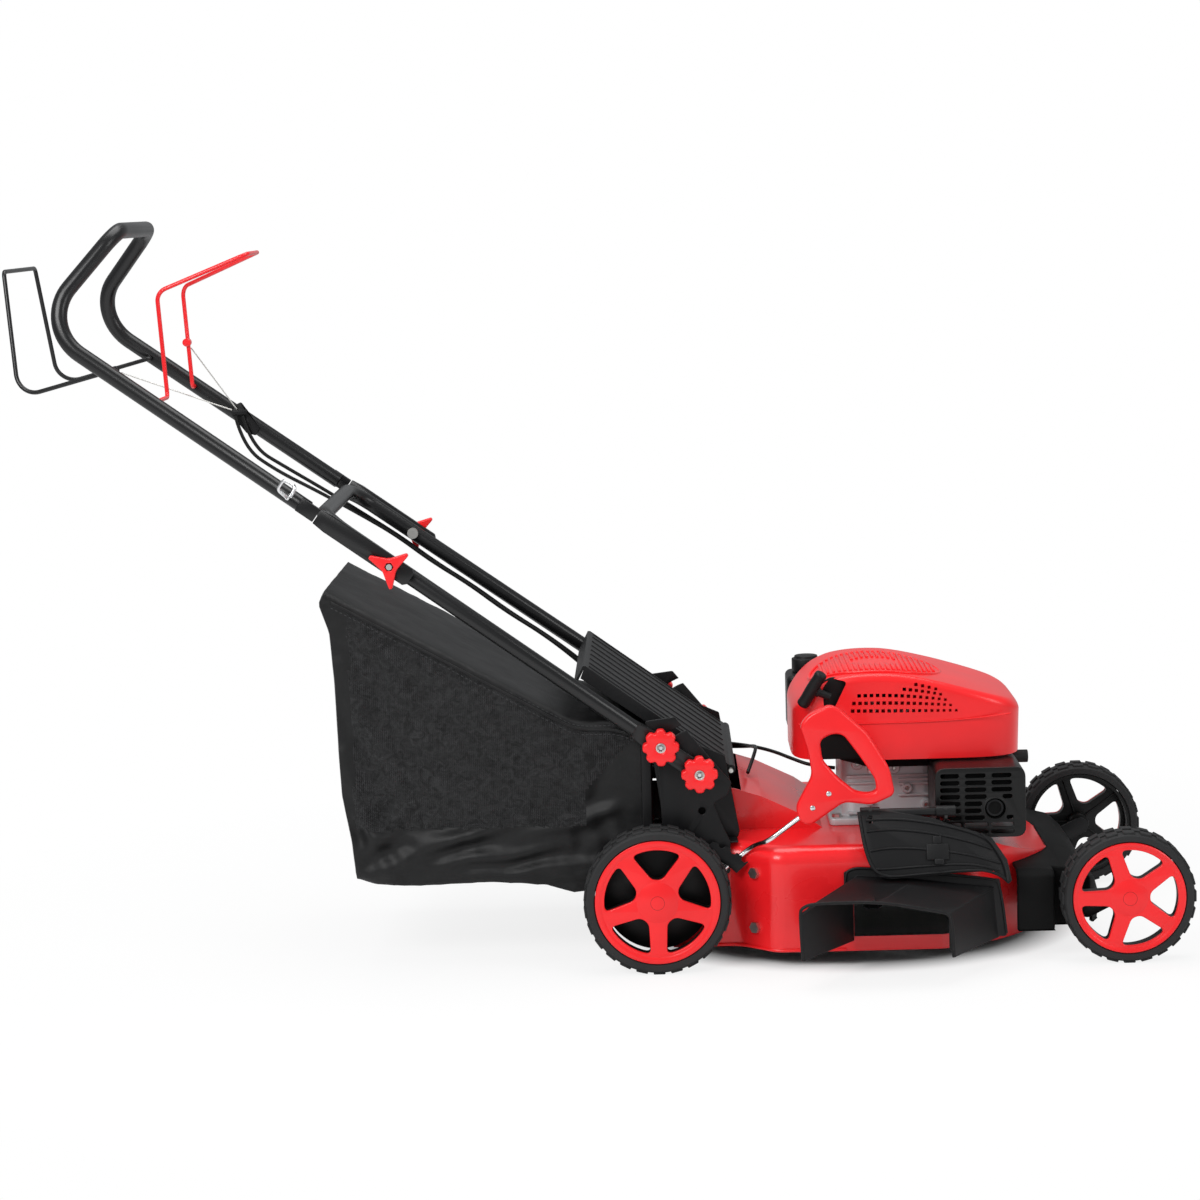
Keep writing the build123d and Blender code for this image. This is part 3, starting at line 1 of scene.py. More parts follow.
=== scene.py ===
import bpy
import json
from math import atan2, cos, exp, hypot, pi, radians, sin, sqrt
from mathutils import Matrix, Vector, noise
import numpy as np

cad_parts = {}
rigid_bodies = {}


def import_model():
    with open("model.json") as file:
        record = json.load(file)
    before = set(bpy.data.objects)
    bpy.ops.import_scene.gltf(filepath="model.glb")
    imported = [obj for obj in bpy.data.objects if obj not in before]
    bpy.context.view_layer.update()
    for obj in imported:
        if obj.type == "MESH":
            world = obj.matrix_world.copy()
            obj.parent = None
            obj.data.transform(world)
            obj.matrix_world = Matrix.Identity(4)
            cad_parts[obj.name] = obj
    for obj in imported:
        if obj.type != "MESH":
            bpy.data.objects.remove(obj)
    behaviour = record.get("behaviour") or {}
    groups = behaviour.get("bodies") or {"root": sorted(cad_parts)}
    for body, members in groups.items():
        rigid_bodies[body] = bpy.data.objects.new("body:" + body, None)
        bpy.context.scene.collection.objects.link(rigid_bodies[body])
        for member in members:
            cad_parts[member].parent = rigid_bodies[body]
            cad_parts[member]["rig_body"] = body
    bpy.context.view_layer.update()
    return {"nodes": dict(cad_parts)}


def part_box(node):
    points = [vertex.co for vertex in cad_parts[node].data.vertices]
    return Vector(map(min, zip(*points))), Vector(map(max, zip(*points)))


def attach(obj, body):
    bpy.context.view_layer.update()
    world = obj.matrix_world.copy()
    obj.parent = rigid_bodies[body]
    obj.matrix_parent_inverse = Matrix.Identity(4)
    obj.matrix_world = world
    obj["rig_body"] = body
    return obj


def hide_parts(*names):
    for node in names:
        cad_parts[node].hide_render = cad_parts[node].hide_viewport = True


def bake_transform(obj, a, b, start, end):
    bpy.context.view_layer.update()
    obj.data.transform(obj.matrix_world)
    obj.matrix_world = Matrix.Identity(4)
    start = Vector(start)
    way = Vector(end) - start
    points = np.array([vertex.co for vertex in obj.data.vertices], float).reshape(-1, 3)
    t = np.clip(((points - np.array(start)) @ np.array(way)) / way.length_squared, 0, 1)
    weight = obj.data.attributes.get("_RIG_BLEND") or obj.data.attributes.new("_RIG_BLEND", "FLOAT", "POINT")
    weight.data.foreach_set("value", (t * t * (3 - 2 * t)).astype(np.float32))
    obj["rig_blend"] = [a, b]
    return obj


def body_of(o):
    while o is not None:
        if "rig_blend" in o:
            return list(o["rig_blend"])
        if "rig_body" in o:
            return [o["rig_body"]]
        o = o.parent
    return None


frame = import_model()
nodes = frame["nodes"]

# ---- ground, light and camera -------------------------------------------------------
# The mower stands on a plain white floor in soft studio light. A camera with a long lens
# looks at its right side from a little above.
wheel_low, wheel_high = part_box("tyre_rear_right")
axle_x = (wheel_low[0] + wheel_high[0]) / 2
middle_y = (wheel_low[1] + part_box("tyre_rear_left")[1][1]) / 2


def spot(x, y, z):
    """Point given in millimetres from the rear axle, the middle plane and the ground."""
    return Vector((axle_x + x / 1000, middle_y + y / 1000, z / 1000))


def wire(tree, node, inputs):
    """Give a shader node's inputs their values, or wires from other nodes' outputs."""
    for name, value in inputs.items():
        if isinstance(value, bpy.types.NodeSocket):
            tree.links.new(value, node.inputs[name])
        else:
            node.inputs[name].default_value = value
    return node


def add_node(tree, kind, inputs=None, operation=None):
    """Add a shader node and see to its inputs."""
    made = tree.nodes.new(f"ShaderNode{kind}")
    if operation:
        made.operation = operation
    return wire(tree, made, inputs or {})


def add_ramp(tree, factor, *stops):
    """Add a colour ramp through stops of (position, colour)."""
    made = add_node(tree, "ValToRGB", {"Fac": factor})
    ends = made.color_ramp.elements
    for end, (position, colour) in zip((ends[0], ends[1]), (stops[0], stops[-1])):
        end.position = position
        end.color = (*colour, 1)
    for position, colour in stops[1:-1]:
        ends.new(position).color = (*colour, 1)
    return made


bpy.ops.object.select_all(action="DESELECT")
bpy.ops.mesh.primitive_plane_add(size=60, location=(0, 0, 0))
floor = bpy.context.active_object
floor.name = "floor"
floor_paint = bpy.data.materials.new("floor_paint")
floor_paint.use_nodes = True
tree = floor_paint.node_tree
shade = wire(tree, tree.nodes["Principled BSDF"], {"Base Color": (0.86, 0.86, 0.86, 1), "Roughness": 0.7})
glow = add_node(tree, "Emission", {"Strength": 1.0})
place = add_node(tree, "TexCoord")
centre = add_node(tree, "Mapping", {"Location": (-0.115, -0.016, 0), "Scale": (0.333, 0.4, 0),
                                    "Vector": place.outputs["Object"]})
reach = add_node(tree, "VectorMath", {0: centre.outputs["Vector"]}, "LENGTH")
fade = add_ramp(tree, reach.outputs["Value"], (0.085, (0, 0, 0)), (0.11, (0.82, 0.82, 0.82)), (0.5, (1, 1, 1)))
mix = add_node(tree, "MixShader", {"Fac": fade.outputs["Color"], 1: shade.outputs["BSDF"],
                                   2: glow.outputs["Emission"]})
seen = add_node(tree, "LightPath")
only = add_node(tree, "MixShader", {"Fac": seen.outputs["Is Camera Ray"], 1: shade.outputs["BSDF"],
                                    2: mix.outputs["Shader"]})
wire(tree, tree.nodes["Material Output"], {"Surface": only.outputs["Shader"]})
floor.data.materials.append(floor_paint)

room = bpy.data.worlds.new("room")
bpy.context.scene.world = room
room.use_nodes = True
tree = room.node_tree
plain = wire(tree, tree.nodes["Background"], {"Color": (0.86, 0.88, 0.9, 1), "Strength": 0.45})
white = add_node(tree, "Background", {"Color": (1, 1, 1, 1)})
rays = add_node(tree, "LightPath")
pick = add_node(tree, "MixShader", {"Fac": rays.outputs["Is Camera Ray"], 1: plain.outputs["Background"],
                                    2: white.outputs["Background"]})
wire(tree, tree.nodes["World Output"], {"Surface": pick.outputs["Shader"]})


def lamp(name, place, aim, width, height, power):
    """Soft rectangular lamp at a place, turned to an aim."""
    light = bpy.data.lights.new(name, "AREA")
    light.shape = "RECTANGLE"
    light.size = width
    light.size_y = height
    light.energy = power
    holder = bpy.data.objects.new(name, light)
    bpy.context.scene.collection.objects.link(holder)
    holder.location = place
    holder.rotation_euler = (Vector(aim) - Vector(place)).to_track_quat("-Z", "Y").to_euler()


lamp("key_lamp", (-1.5, -2.2, 2.3), (-0.1, 0, 0.4), 1.8, 1.2, 66)
lamp("side_lamp", (2.6, -1.6, 1.6), (0.1, 0, 0.3), 1.2, 1.4, 22)
lamp("top_lamp", (0.1, 0.3, 2.9), (0, 0, 0.3), 2.4, 1.6, 44)

yaw, pitch, roll = radians(-1.188), radians(7.758), radians(-1.738)
ahead = Vector((sin(yaw) * cos(pitch), cos(yaw) * cos(pitch), -sin(pitch)))
level = Vector((cos(yaw), -sin(yaw), 0))
above = level.cross(ahead)
right = level * cos(roll) + above * sin(roll)
up = above * cos(roll) - level * sin(roll)
lens = bpy.data.cameras.new("camera")
lens.lens = 88.41
lens.sensor_width = 36
lens.clip_end = 50
camera = bpy.data.objects.new("camera", lens)
bpy.context.scene.collection.objects.link(camera)
stand = spot(15.18, -4134.83, 1042.08)
camera.matrix_world = Matrix((
    (right.x, up.x, -ahead.x, stand.x),
    (right.y, up.y, -ahead.y, stand.y),
    (right.z, up.z, -ahead.z, stand.z),
    (0, 0, 0, 1),
))
bpy.context.scene.camera = camera
bpy.context.scene.view_settings.view_transform = "Standard"

# ---- deck ---------------------------------------------------------------------------
# Pressed steel deck, powder coated red, with a faint orange peel under its gloss. A lip is
# rolled along the foot of its skirt, and its bolts and brackets are zinc plated or black.


def finish(name, colour, rough, metal=0.0, coat=0.0, mottle=0.06, grain=900.0, bump=0.02, wear=0.1, shine=0.5,
           slot=None):
    """Material with mottled colour and roughness and a fine grain in its surface."""
    made = bpy.data.materials.new(name)
    made.use_nodes = True
    tree = made.node_tree
    place = add_node(tree, "TexCoord").outputs["Object"]
    cloud = add_node(tree, "TexNoise", {"Scale": 14, "Detail": 5, "Vector": place}).outputs["Fac"]
    dark = [c * (1 - mottle) for c in colour]
    light = [min(1, c * (1 + mottle)) for c in colour]
    tint = add_ramp(tree, cloud, (0.3, dark), (0.7, light))
    rub = add_node(tree, "MapRange", {"To Min": rough * (1 - wear), "To Max": rough * (1 + wear),
                                      "Value": cloud})
    fine = add_node(tree, "TexNoise", {"Scale": grain, "Detail": 2, "Vector": place})
    relief = add_node(tree, "Bump", {"Strength": bump, "Distance": 0.001, "Height": fine.outputs["Fac"]})
    wire(tree, tree.nodes["Principled BSDF"], {
        "Base Color": tint.outputs["Color"], "Roughness": rub.outputs["Result"],
        "Normal": relief.outputs["Normal"], "Metallic": metal, "Specular IOR Level": shine,
        "Coat Weight": coat, "Coat Roughness": 0.1,
    })
    made["slot"] = slot or name
    return made


def dress(material, *names):
    """Give a material to CAD nodes."""
    for name in names:
        nodes[name].data.materials.clear()
        nodes[name].data.materials.append(material)


def alone(piece):
    """Select a piece alone, and make it the active one."""
    bpy.ops.object.select_all(action="DESELECT")
    piece.select_set(True)
    bpy.context.view_layer.objects.active = piece


def settle(piece, body, material, *stands_for, smooth=32):
    """Smooth a piece by angle, give it its material, and let it ride on a body."""
    alone(piece)
    bpy.ops.object.transform_apply(location=True, rotation=True, scale=True)
    bpy.ops.object.shade_smooth_by_angle(angle=radians(smooth))
    if material:
        piece.data.materials.clear()
        piece.data.materials.append(material)
    if body:
        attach(piece, body)
    if stands_for:
        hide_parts(*stands_for)
    return piece


def as_mesh(name, drawing):
    """Turn a drawn curve into a mesh piece."""
    piece = bpy.data.objects.new(name, drawing)
    bpy.context.scene.collection.objects.link(piece)
    alone(piece)
    bpy.ops.object.convert(target="MESH")
    return bpy.context.active_object


def rod(name, points, radius, body, material, *stands_for, girths=None, rounds=5, steps=8):
    """Round bar or wire along points given in millimetres, thicker or thinner by its girths."""
    path = bpy.data.curves.new(name, "CURVE")
    path.dimensions = "3D"
    path.bevel_depth = radius / 1000
    path.bevel_resolution = rounds
    path.use_fill_caps = True
    line = path.splines.new("NURBS")
    line.points.add(len(points) - 1)
    for knot, point, girth in zip(line.points, points, girths or [1] * len(points)):
        knot.co = (*spot(*point), 1)
        knot.radius = girth
    line.order_u = 3
    line.use_endpoint_u = True
    path.resolution_u = steps
    return settle(as_mesh(name, path), body, material, *stands_for, smooth=50)


red_paint = finish("red_paint", (0.82, 0.012, 0.016), 0.28, coat=0.3, grain=260, bump=0.05, shine=0.35)
deck_paint = finish("deck_paint", (0.82, 0.012, 0.016), 0.28, coat=0.3, grain=260, bump=0.05, shine=0.35,
                    slot="red_paint")
# Its inside faces are painted black as painted shade under the deck, and the two ears of the door's hinge are
# left black.
ears_from = 0.1665
tree = deck_paint.node_tree
face = add_node(tree, "NewGeometry")
from_middle = add_node(tree, "VectorMath", {0: face.outputs["Position"], 1: spot(290, 0, 95)}, "SUBTRACT")
outward = add_node(tree, "VectorMath", {0: from_middle.outputs["Vector"], 1: face.outputs["True Normal"]},
                   "DOT_PRODUCT")
# Faces turned in towards the deck's middle: painted shade.
inside = add_node(tree, "Math", {0: outward.outputs["Value"], 1: 0.0}, "LESS_THAN")
apart = add_node(tree, "SeparateXYZ", {"Vector": face.outputs["Position"]})
over = add_node(tree, "Math", {0: apart.outputs["Z"], 1: ears_from}, "GREATER_THAN")
aside = add_node(tree, "Math", {0: apart.outputs["Y"], 1: spot(0, -196, 0).y}, "LESS_THAN")
ear = add_node(tree, "Math", {0: over.outputs["Value"], 1: aside.outputs["Value"]}, "MULTIPLY")
ears_or_painted_shade = add_node(tree, "Math", {0: ear.outputs["Value"], 1: inside.outputs["Value"]}, "MAXIMUM")
# Black over the red, for the ears and, as painted shade, for the inside faces.
coat = add_node(tree, "Mix")
coat.data_type = "RGBA"
shader = tree.nodes["Principled BSDF"]
wire(tree, coat, {"B": (0.006, 0.006, 0.006, 1), "Factor": ears_or_painted_shade.outputs["Value"],
                  "A": shader.inputs["Base Color"].links[0].from_socket})
wire(tree, shader, {"Base Color": coat.outputs["Result"]})
black_paint = finish("black_paint", (0.005, 0.005, 0.0055), 0.4, grain=700, bump=0.06, shine=0.25)
zinc_metal = finish("zinc_metal", (0.62, 0.61, 0.58), 0.34, metal=1.0, grain=600, bump=0.04, slot="zinc_steel")
dress(deck_paint, "deck")
dress(zinc_metal, "chassis_bolts")
lip_z = 24.5
lip_line = [(24, 196.5), (84, 196.5), (112, 197), (136, 217.5), (160, 238.6), (190, 239.4), (254, 239.4)]
lip_front = [(330, 239.4), (377, 239.4), (440, 221)]
for side_name, side, line in (("right", -1, lip_line), ("left", 1, lip_line + lip_front)):
    rod(f"deck_lip_{side_name}", [(x, side * y, lip_z) for x, y in line], 2.2, "chassis", red_paint)

# ---- grass bag ----------------------------------------------------------------------
# A sagging, empty bag of smooth black nylon with a panel of open mesh sewn into each side.
# Its lid is sewn on along a bound seam, and it hangs from a frame behind the mower.
mouth_x = -18.0
bag_foot = [(-18, 121), (-60, 99), (-114, 93), (-154, 105), (-229, 111), (-326, 107), (-388, 110), (-410, 118),
            (-452, 124)]
bag_rear = [(0.0, -416), (0.05, -416), (0.14, -419), (0.3, -430), (0.46, -432), (0.7, -434), (0.86, -438),
            (0.94, -451), (1.0, -443)]
edge_power = 16
seam_drop = 13.0


def along(table, value):
    """Value of a table of pairs at a place between two of them."""
    table = sorted(table)
    for (a, low), (b, high) in zip(table, table[1:]):
        if value <= b or (b, high) == table[-1]:
            t = min(1, max(0, (value - a) / (b - a)))
            return low + (high - low) * t
    return table[-1][1]


def soft_step(a, b, value):
    """0 below a, 1 above b, smooth in between."""
    t = min(1, max(0, (value - a) / (b - a)))
    return t * t * (3 - 2 * t)


def bag_top(x):
    """Height of the bag's lid over x."""
    return 287 + 0.563 * (mouth_x - x) + 35 * soft_step(-120, -30, x)


def half_width(run, w):
    """Half of the bag's width, by the shares of its length and of its height."""
    return 177 - 5 * sin(pi * run) * sin(pi * w) + 2 * soft_step(0.75, 1, w)


# Folds of the cloth, each from one place to another, with its height and its width.
folds = [
    ((-405, 132), (-170, 205), 6.5, 11), ((-400, 122), (-120, 168), 6.0, 10),
    ((-330, 116), (-60, 142), 5.0, 9), ((-250, 160), (-40, 215), 4.6, 11),
    ((-412, 150), (-300, 262), 4.2, 12), ((-424, 300), (-372, 130), 4.2, 11),
    ((-424, 420), (-340, 215), 3.4, 14), ((-360, 445), (-330, 350), 2.6, 13),
    ((-250, 392), (-225, 310), 2.4, 14), ((-160, 345), (-150, 262), 2.2, 14),
    ((-80, 300), (-105, 215), 2.6, 12), ((-424, 470), (-270, 392), 2.6, 11),
    ((-330, 250), (-80, 268), 2.2, 20), ((-418, 220), (-345, 150), 3.8, 9),
    ((-400, 350), (-240, 300), 2.2, 20), ((-60, 205), (-32, 130), 3.4, 10),
    ((-200, 118), (-50, 122), 4.0, 8), ((-390, 178), (-250, 182), 2.8, 9),
]


def fold_height(x, z):
    """How far the folds stand out of the bag's side at a place."""
    total = 0.0
    for (ax, az), (bx, bz), height, width in folds:
        dx, dz = bx - ax, bz - az
        t = min(1, max(0, ((x - ax) * dx + (z - az) * dz) / (dx * dx + dz * dz)))
        wander = 7 * noise.noise(Vector((x / 60, z / 60, height)))
        off = ((x - ax - t * dx) * dz - (z - az - t * dz) * dx) / hypot(dx, dz) + wander
        gap = hypot(x - ax - t * dx, z - az - t * dz) if t in (0, 1) else abs(off)
        side = exp(-(gap / width) ** 2)
        shadow = exp(-((gap - 1.7 * width) / width) ** 2)
        total += 1.5 * height * sin(pi * (0.12 + 0.76 * t)) * (side - 0.5 * shadow)
    return total


def bag_point(u, s):
    """Place on the bag: u goes round it from the middle of its foot, s from mouth to rear."""
    turn = 2 * pi * u - pi / 2
    c, d = cos(turn), sin(turn)
    reach = (abs(c) ** edge_power + abs(d) ** edge_power) ** (-1 / edge_power)
    across, rise = c * reach, d * reach
    in_wall = max(0, s - 1)
    bulge = 12 * sin(pi * min(1, in_wall * 1.2)) if in_wall else 0
    across *= 1 - in_wall
    rise *= 1 - in_wall
    w = 0.5 + 0.5 * rise
    rear = along(bag_rear, w)
    run = min(s, 1)
    x = mouth_x + (rear - mouth_x) * run
    low, high = along(bag_foot, x), bag_top(x)
    crown = 3 * (1 - across**2) * (1 if rise > 0 else -1.6) * sin(pi * min(1, run))
    z = low + (high - low) * w + crown * abs(rise) ** 8
    y = half_width(run, w) * across
    facing = soft_step(0.9, 1, abs(across))
    out = fold_height(x, z) * facing * soft_step(0.02, 0.12, run)
    ripple = 1.1 * noise.noise(Vector((x / 19, y / 40, z / 24)))
    ripple += 0.5 * noise.noise(Vector((x / 7, y / 9, z / 8)))
    y += (out + ripple - 3.5) * (1 if across > 0 else -1) * facing
    x += ripple * 1.5 * in_wall + (bulge * 0.35 if in_wall else 0)
    return spot(x, y, z + ripple * 0.8 * (1 - facing) * (1 - in_wall))


def weld(distance):
    """Merge the active piece's points that lie this close, in metres, and turn its faces outward."""
    bpy.ops.object.mode_set(mode="EDIT")
    bpy.ops.mesh.select_all(action="SELECT")
    bpy.ops.mesh.remove_doubles(threshold=distance)
    bpy.ops.mesh.normals_make_consistent(inside=False)
    bpy.ops.object.mode_set(mode="OBJECT")


def thicken(piece, thickness):
    """Give a surface a thickness in metres, inward."""
    skin = piece.modifiers.new("skin", "SOLIDIFY")
    skin.thickness = thickness
    skin.offset = -1
    bpy.ops.object.modifier_apply(modifier="skin")


side_share = 0.8
bpy.ops.object.select_all(action="DESELECT")
bpy.ops.mesh.primitive_grid_add(x_subdivisions=300, y_subdivisions=108, size=2)
bag = bpy.context.active_object
bag.name = "bag_shell"
for corner in bag.data.vertices:
    u, s = (corner.co.x + 1) / 2, (corner.co.y + 1) / 2
    corner.co = bag_point(u, s / side_share if s < side_share else 1 + (s - side_share) / 0.2)
weld(0.0002)


def cloth(name, colour, rough, threads, ribs, relief_height, mottle, sheen):
    """Woven black cloth: crossing threads, a slow cloudy fade and a little sheen."""
    made = finish(name, colour, rough, grain=threads, bump=0.1, mottle=mottle, wear=0.15, shine=0.3,
                  slot="bag_cloth")
    tree = made.node_tree
    place = add_node(tree, "TexCoord").outputs["Object"]
    weave = []
    for direction, scale in (("X", threads), ("Z", ribs)):
        wave = add_node(tree, "TexWave", {"Scale": scale, "Distortion": 1.2, "Detail": 1, "Detail Scale": 1.5,
                                          "Vector": place})
        wave.bands_direction = direction
        weave.append(wave.outputs["Fac"])
    woven = add_node(tree, "Math", {0: weave[0], 1: weave[1]}, "ADD")
    crinkle = add_node(tree, "TexNoise", {"Scale": 85, "Detail": 6, "Roughness": 0.7, "Distortion": 1.5,
                                          "Vector": place}).outputs["Fac"]
    dark = [c * (1 - mottle) for c in colour]
    light = [c * (1 + 2.5 * mottle) for c in colour]
    tone = add_ramp(tree, crinkle, (0.38, dark), (0.66, light))
    deep = add_node(tree, "Math", {0: crinkle, 1: 2.2, 2: woven.outputs["Value"]}, "MULTIPLY_ADD")
    relief = add_node(tree, "Bump", {"Strength": relief_height, "Distance": 0.0012,
                                     "Height": deep.outputs["Value"]})
    wire(tree, tree.nodes["Principled BSDF"], {
        "Base Color": tone.outputs["Color"], "Normal": relief.outputs["Normal"], "Sheen Weight": sheen,
        "Sheen Roughness": 0.5,
    })
    return made


nylon_cloth = cloth("nylon_cloth", (0.0045, 0.0045, 0.0047), 0.48, 210, 240, 0.12, 0.15, 0.0)
mesh_cloth = cloth("mesh_cloth", (0.012, 0.012, 0.0125), 0.55, 120, 150, 0.75, 0.6, 0.03)
bag.data.materials.append(nylon_cloth)
bag.data.materials.append(mesh_cloth)
for face in bag.data.polygons:
    x = (face.center.x - axle_x) * 1000
    z = face.center.z * 1000
    front_edge = -96 + 0.94 * max(0, z - 238)
    in_panel = -412 < x < front_edge and 190 < z < bag_top(x) - seam_drop
    face.material_index = 1 if in_panel and abs(face.normal.y) > 0.6 else 0
thicken(bag, 0.0012)
settle(bag, "bag", None, "bag_fabric", smooth=60)


def on_bag(x, z, side, out):
    """Place on the bag's side, and a little out of it."""
    run = (x - mouth_x) / (-440 - mouth_x)
    low, high = along(bag_foot, x), bag_top(x)
    w = (z - low) / (high - low)
    half = half_width(run, w) * (1 - abs(2 * w - 1) ** edge_power) ** (1 / edge_power)
    face = fold_height(x, z) - 3.5
    return (x, side * (half + face * soft_step(0.02, 0.12, run) + out), z)


def block(place, size, turn=(0, 0, 0), applied=True):
    """Plain block at a place, with its size in millimetres."""
    bpy.ops.object.select_all(action="DESELECT")
    bpy.ops.mesh.primitive_cube_add(size=1, location=place, rotation=turn)
    made = bpy.context.active_object
    made.scale = [length / 1000 for length in size]
    if applied:
        bpy.ops.object.transform_apply(location=True, rotation=True, scale=True)
    return made


def join(first, others):
    """Make several meshes one."""
    bpy.ops.object.select_all(action="DESELECT")
    for other in others:
        other.select_set(True)
    first.select_set(True)
    bpy.context.view_layer.objects.active = first
    bpy.ops.object.join()
    return bpy.context.active_object


# The binding over the seam and its two rows of stitches, on both sides.
for side, side_name in ((-1, "right"), (1, "left")):
    seam = [-434 + 20.2 * k for k in range(21)]
    rod(f"bag_binding_{side_name}", [on_bag(x, bag_top(x) - seam_drop, side, 0.4) for x in seam], 2.1, "bag",
        nylon_cloth)
    stitches = []
    for row in (-6.5, 5.0):
        for k in range(68):
            x = -432 + 6 * k
            slant = atan2(bag_top(x - 3) - bag_top(x + 3), 6)
            stitches.append(block(spot(*on_bag(x, bag_top(x) - seam_drop + row, side, 0.2)), (3.6, 1.2, 0.9),
                                  (0, slant, 0), applied=False))
    sewn = join(stitches[0], stitches[1:])
    sewn.name = f"bag_stitches_{side_name}"
    settle(sewn, "bag", finish(f"thread_{side_name}", (0.03, 0.03, 0.032), 0.6, grain=2000, bump=0.1,
                               slot="bag_cloth"))

# ---- blower housing -----------------------------------------------------------------
# Red moulded shroud over the flywheel, screwed to posts on the crankcase. Rows of small
# square vents narrow towards its front, and ribs cross an oval on its roof.


def soft(points, radius, steps=5):
    """Closed outline with its corners rounded."""
    out = []
    for i, here in enumerate(points):
        b = Vector(here)
        to_a, to_c = Vector(points[i - 1]) - b, Vector(points[(i + 1) % len(points)]) - b
        cut = min(radius, to_a.length * 0.48, to_c.length * 0.48)
        p, q = b + to_a.normalized() * cut, b + to_c.normalized() * cut
        for s in range(steps + 1):
            t = s / steps
            out.append(tuple(p * (1 - t) ** 2 + b * 2 * t * (1 - t) + q * t * t))
    return out


def plate(name, loops, y_a, y_b, round_by, body, material, *stands_for, smooth=35, settled=True):
    """Plate with an x-z outline, holes and rounded edges, between two distances from the middle."""
    drawing = bpy.data.curves.new(name, "CURVE")
    drawing.dimensions = "2D"
    drawing.fill_mode = "BOTH"
    drawing.extrude = abs(y_b - y_a) / 2000 - round_by / 1000
    drawing.bevel_depth = round_by / 1000
    drawing.offset = -round_by / 1000
    drawing.bevel_resolution = 2
    for loop in loops:
        line = drawing.splines.new("POLY")
        line.points.add(len(loop) - 1)
        line.use_cyclic_u = True
        for knot, (x, z) in zip(line.points, loop):
            knot.co = (x / 1000, z / 1000, 0, 1)
    piece = as_mesh(name, drawing)
    piece.rotation_euler = (pi / 2, 0, 0)
    piece.location = spot(0, (y_a + y_b) / 2, 0)
    bpy.ops.object.transform_apply(location=True, rotation=True, scale=True)
    weld(0.00001)
    return settle(piece, body, material, *stands_for, smooth=smooth) if settled else piece


def carve(piece, tool):
    """Cut a shape out of a piece, and throw the shape away."""
    alone(piece)
    cut = piece.modifiers.new("cut", "BOOLEAN")
    cut.object = tool
    cut.operation = "DIFFERENCE"
    cut.solver = "EXACT"
    bpy.ops.object.modifier_apply(modifier="cut")
    bpy.data.objects.remove(tool)


def round_off(piece, width, segments):
    """Round a piece's edges, by a width in metres."""
    edge = piece.modifiers.new("round", "BEVEL")
    edge.width = width
    edge.segments = segments
    bpy.ops.object.modifier_apply(modifier="round")


red_plastic = finish("red_plastic", (0.84, 0.013, 0.016), 0.32, coat=0.12, grain=1200, bump=0.03, shine=0.35)
black_plastic = finish("black_plastic", (0.0065, 0.0065, 0.007), 0.46, grain=1800, bump=0.12, shine=0.25)
# Near black: the own colour of the front cover, wing nuts and silencer, and painted shade on the sheets in the
# housing's gaps.
dark_inside = finish("dark_inside", (0.003, 0.003, 0.003), 0.7, grain=900, bump=0.05, shine=0.15,
                     slot="black_plastic")
housing_x, housing_y = 351, -16
housing_length, housing_width = 159.0, 124.0
housing_foot, housing_round = 265.0, 11.0
roof_reach = 140
roof_crown = 3.0
wall_share, bend_share = 0.3, 0.2
housing_line = [(150, 300), (190, 338), (212, 362), (240, 379), (270, 386), (314, 388), (346, 385), (397, 373),
                (452, 357), (500, 342), (540, 318)]


def roof_height(x):
    """Height of the housing's roof over x, with the corners of its line smoothed."""
    return sum(along(housing_line, x + step) for step in range(-20, 21, 4)) / 11


bpy.ops.object.select_all(action="DESELECT")
bpy.ops.mesh.primitive_grid_add(x_subdivisions=168, y_subdivisions=38, size=2)
housing = bpy.context.active_object
housing.name = "housing_shell"
for corner in housing.data.vertices:
    turn, climb = pi * (corner.co.x + 1), (corner.co.y + 1) / 2
    c, d = cos(turn), sin(turn)
    reach = (abs(c) ** 5 + abs(d) ** 5) ** (-1 / 5)
    wall_top = roof_height(housing_x + housing_length * c * reach) - housing_round
    scale, drop = 1.0, 0.0
    if climb >= wall_share + bend_share:
        scale = (1 - housing_round / roof_reach) * (1 - (climb - 0.5) / 0.5)
    elif climb >= wall_share:
        bend = (climb - wall_share) / bend_share * pi / 2
        scale = 1 - housing_round * (1 - cos(bend)) / roof_reach
        drop = housing_round * (1 - sin(bend))
    x = housing_x + housing_length * c * reach * scale
    if climb < wall_share:
        z = housing_foot + (wall_top - housing_foot) * climb / wall_share
    else:
        z = roof_height(x) - drop + roof_crown * (1 - scale * scale) - roof_crown
    # The front wall draws back a little towards its foot.
    lean = 0.025 * (max(0, 335 - z) / 70 - 0.4) if c > 0 else 0.0
    x -= lean * housing_length * c * reach * scale * 0.6
    corner.co = spot(x, housing_y + housing_width * d * reach * scale, z)
weld(0.00005)
if housing.data.polygons[0].normal.dot(housing.data.polygons[0].center - spot(housing_x, housing_y, 300)) < 0:
    bpy.ops.object.mode_set(mode="EDIT")
    bpy.ops.mesh.flip_normals()
    bpy.ops.object.mode_set(mode="OBJECT")
thicken(housing, 0.003)

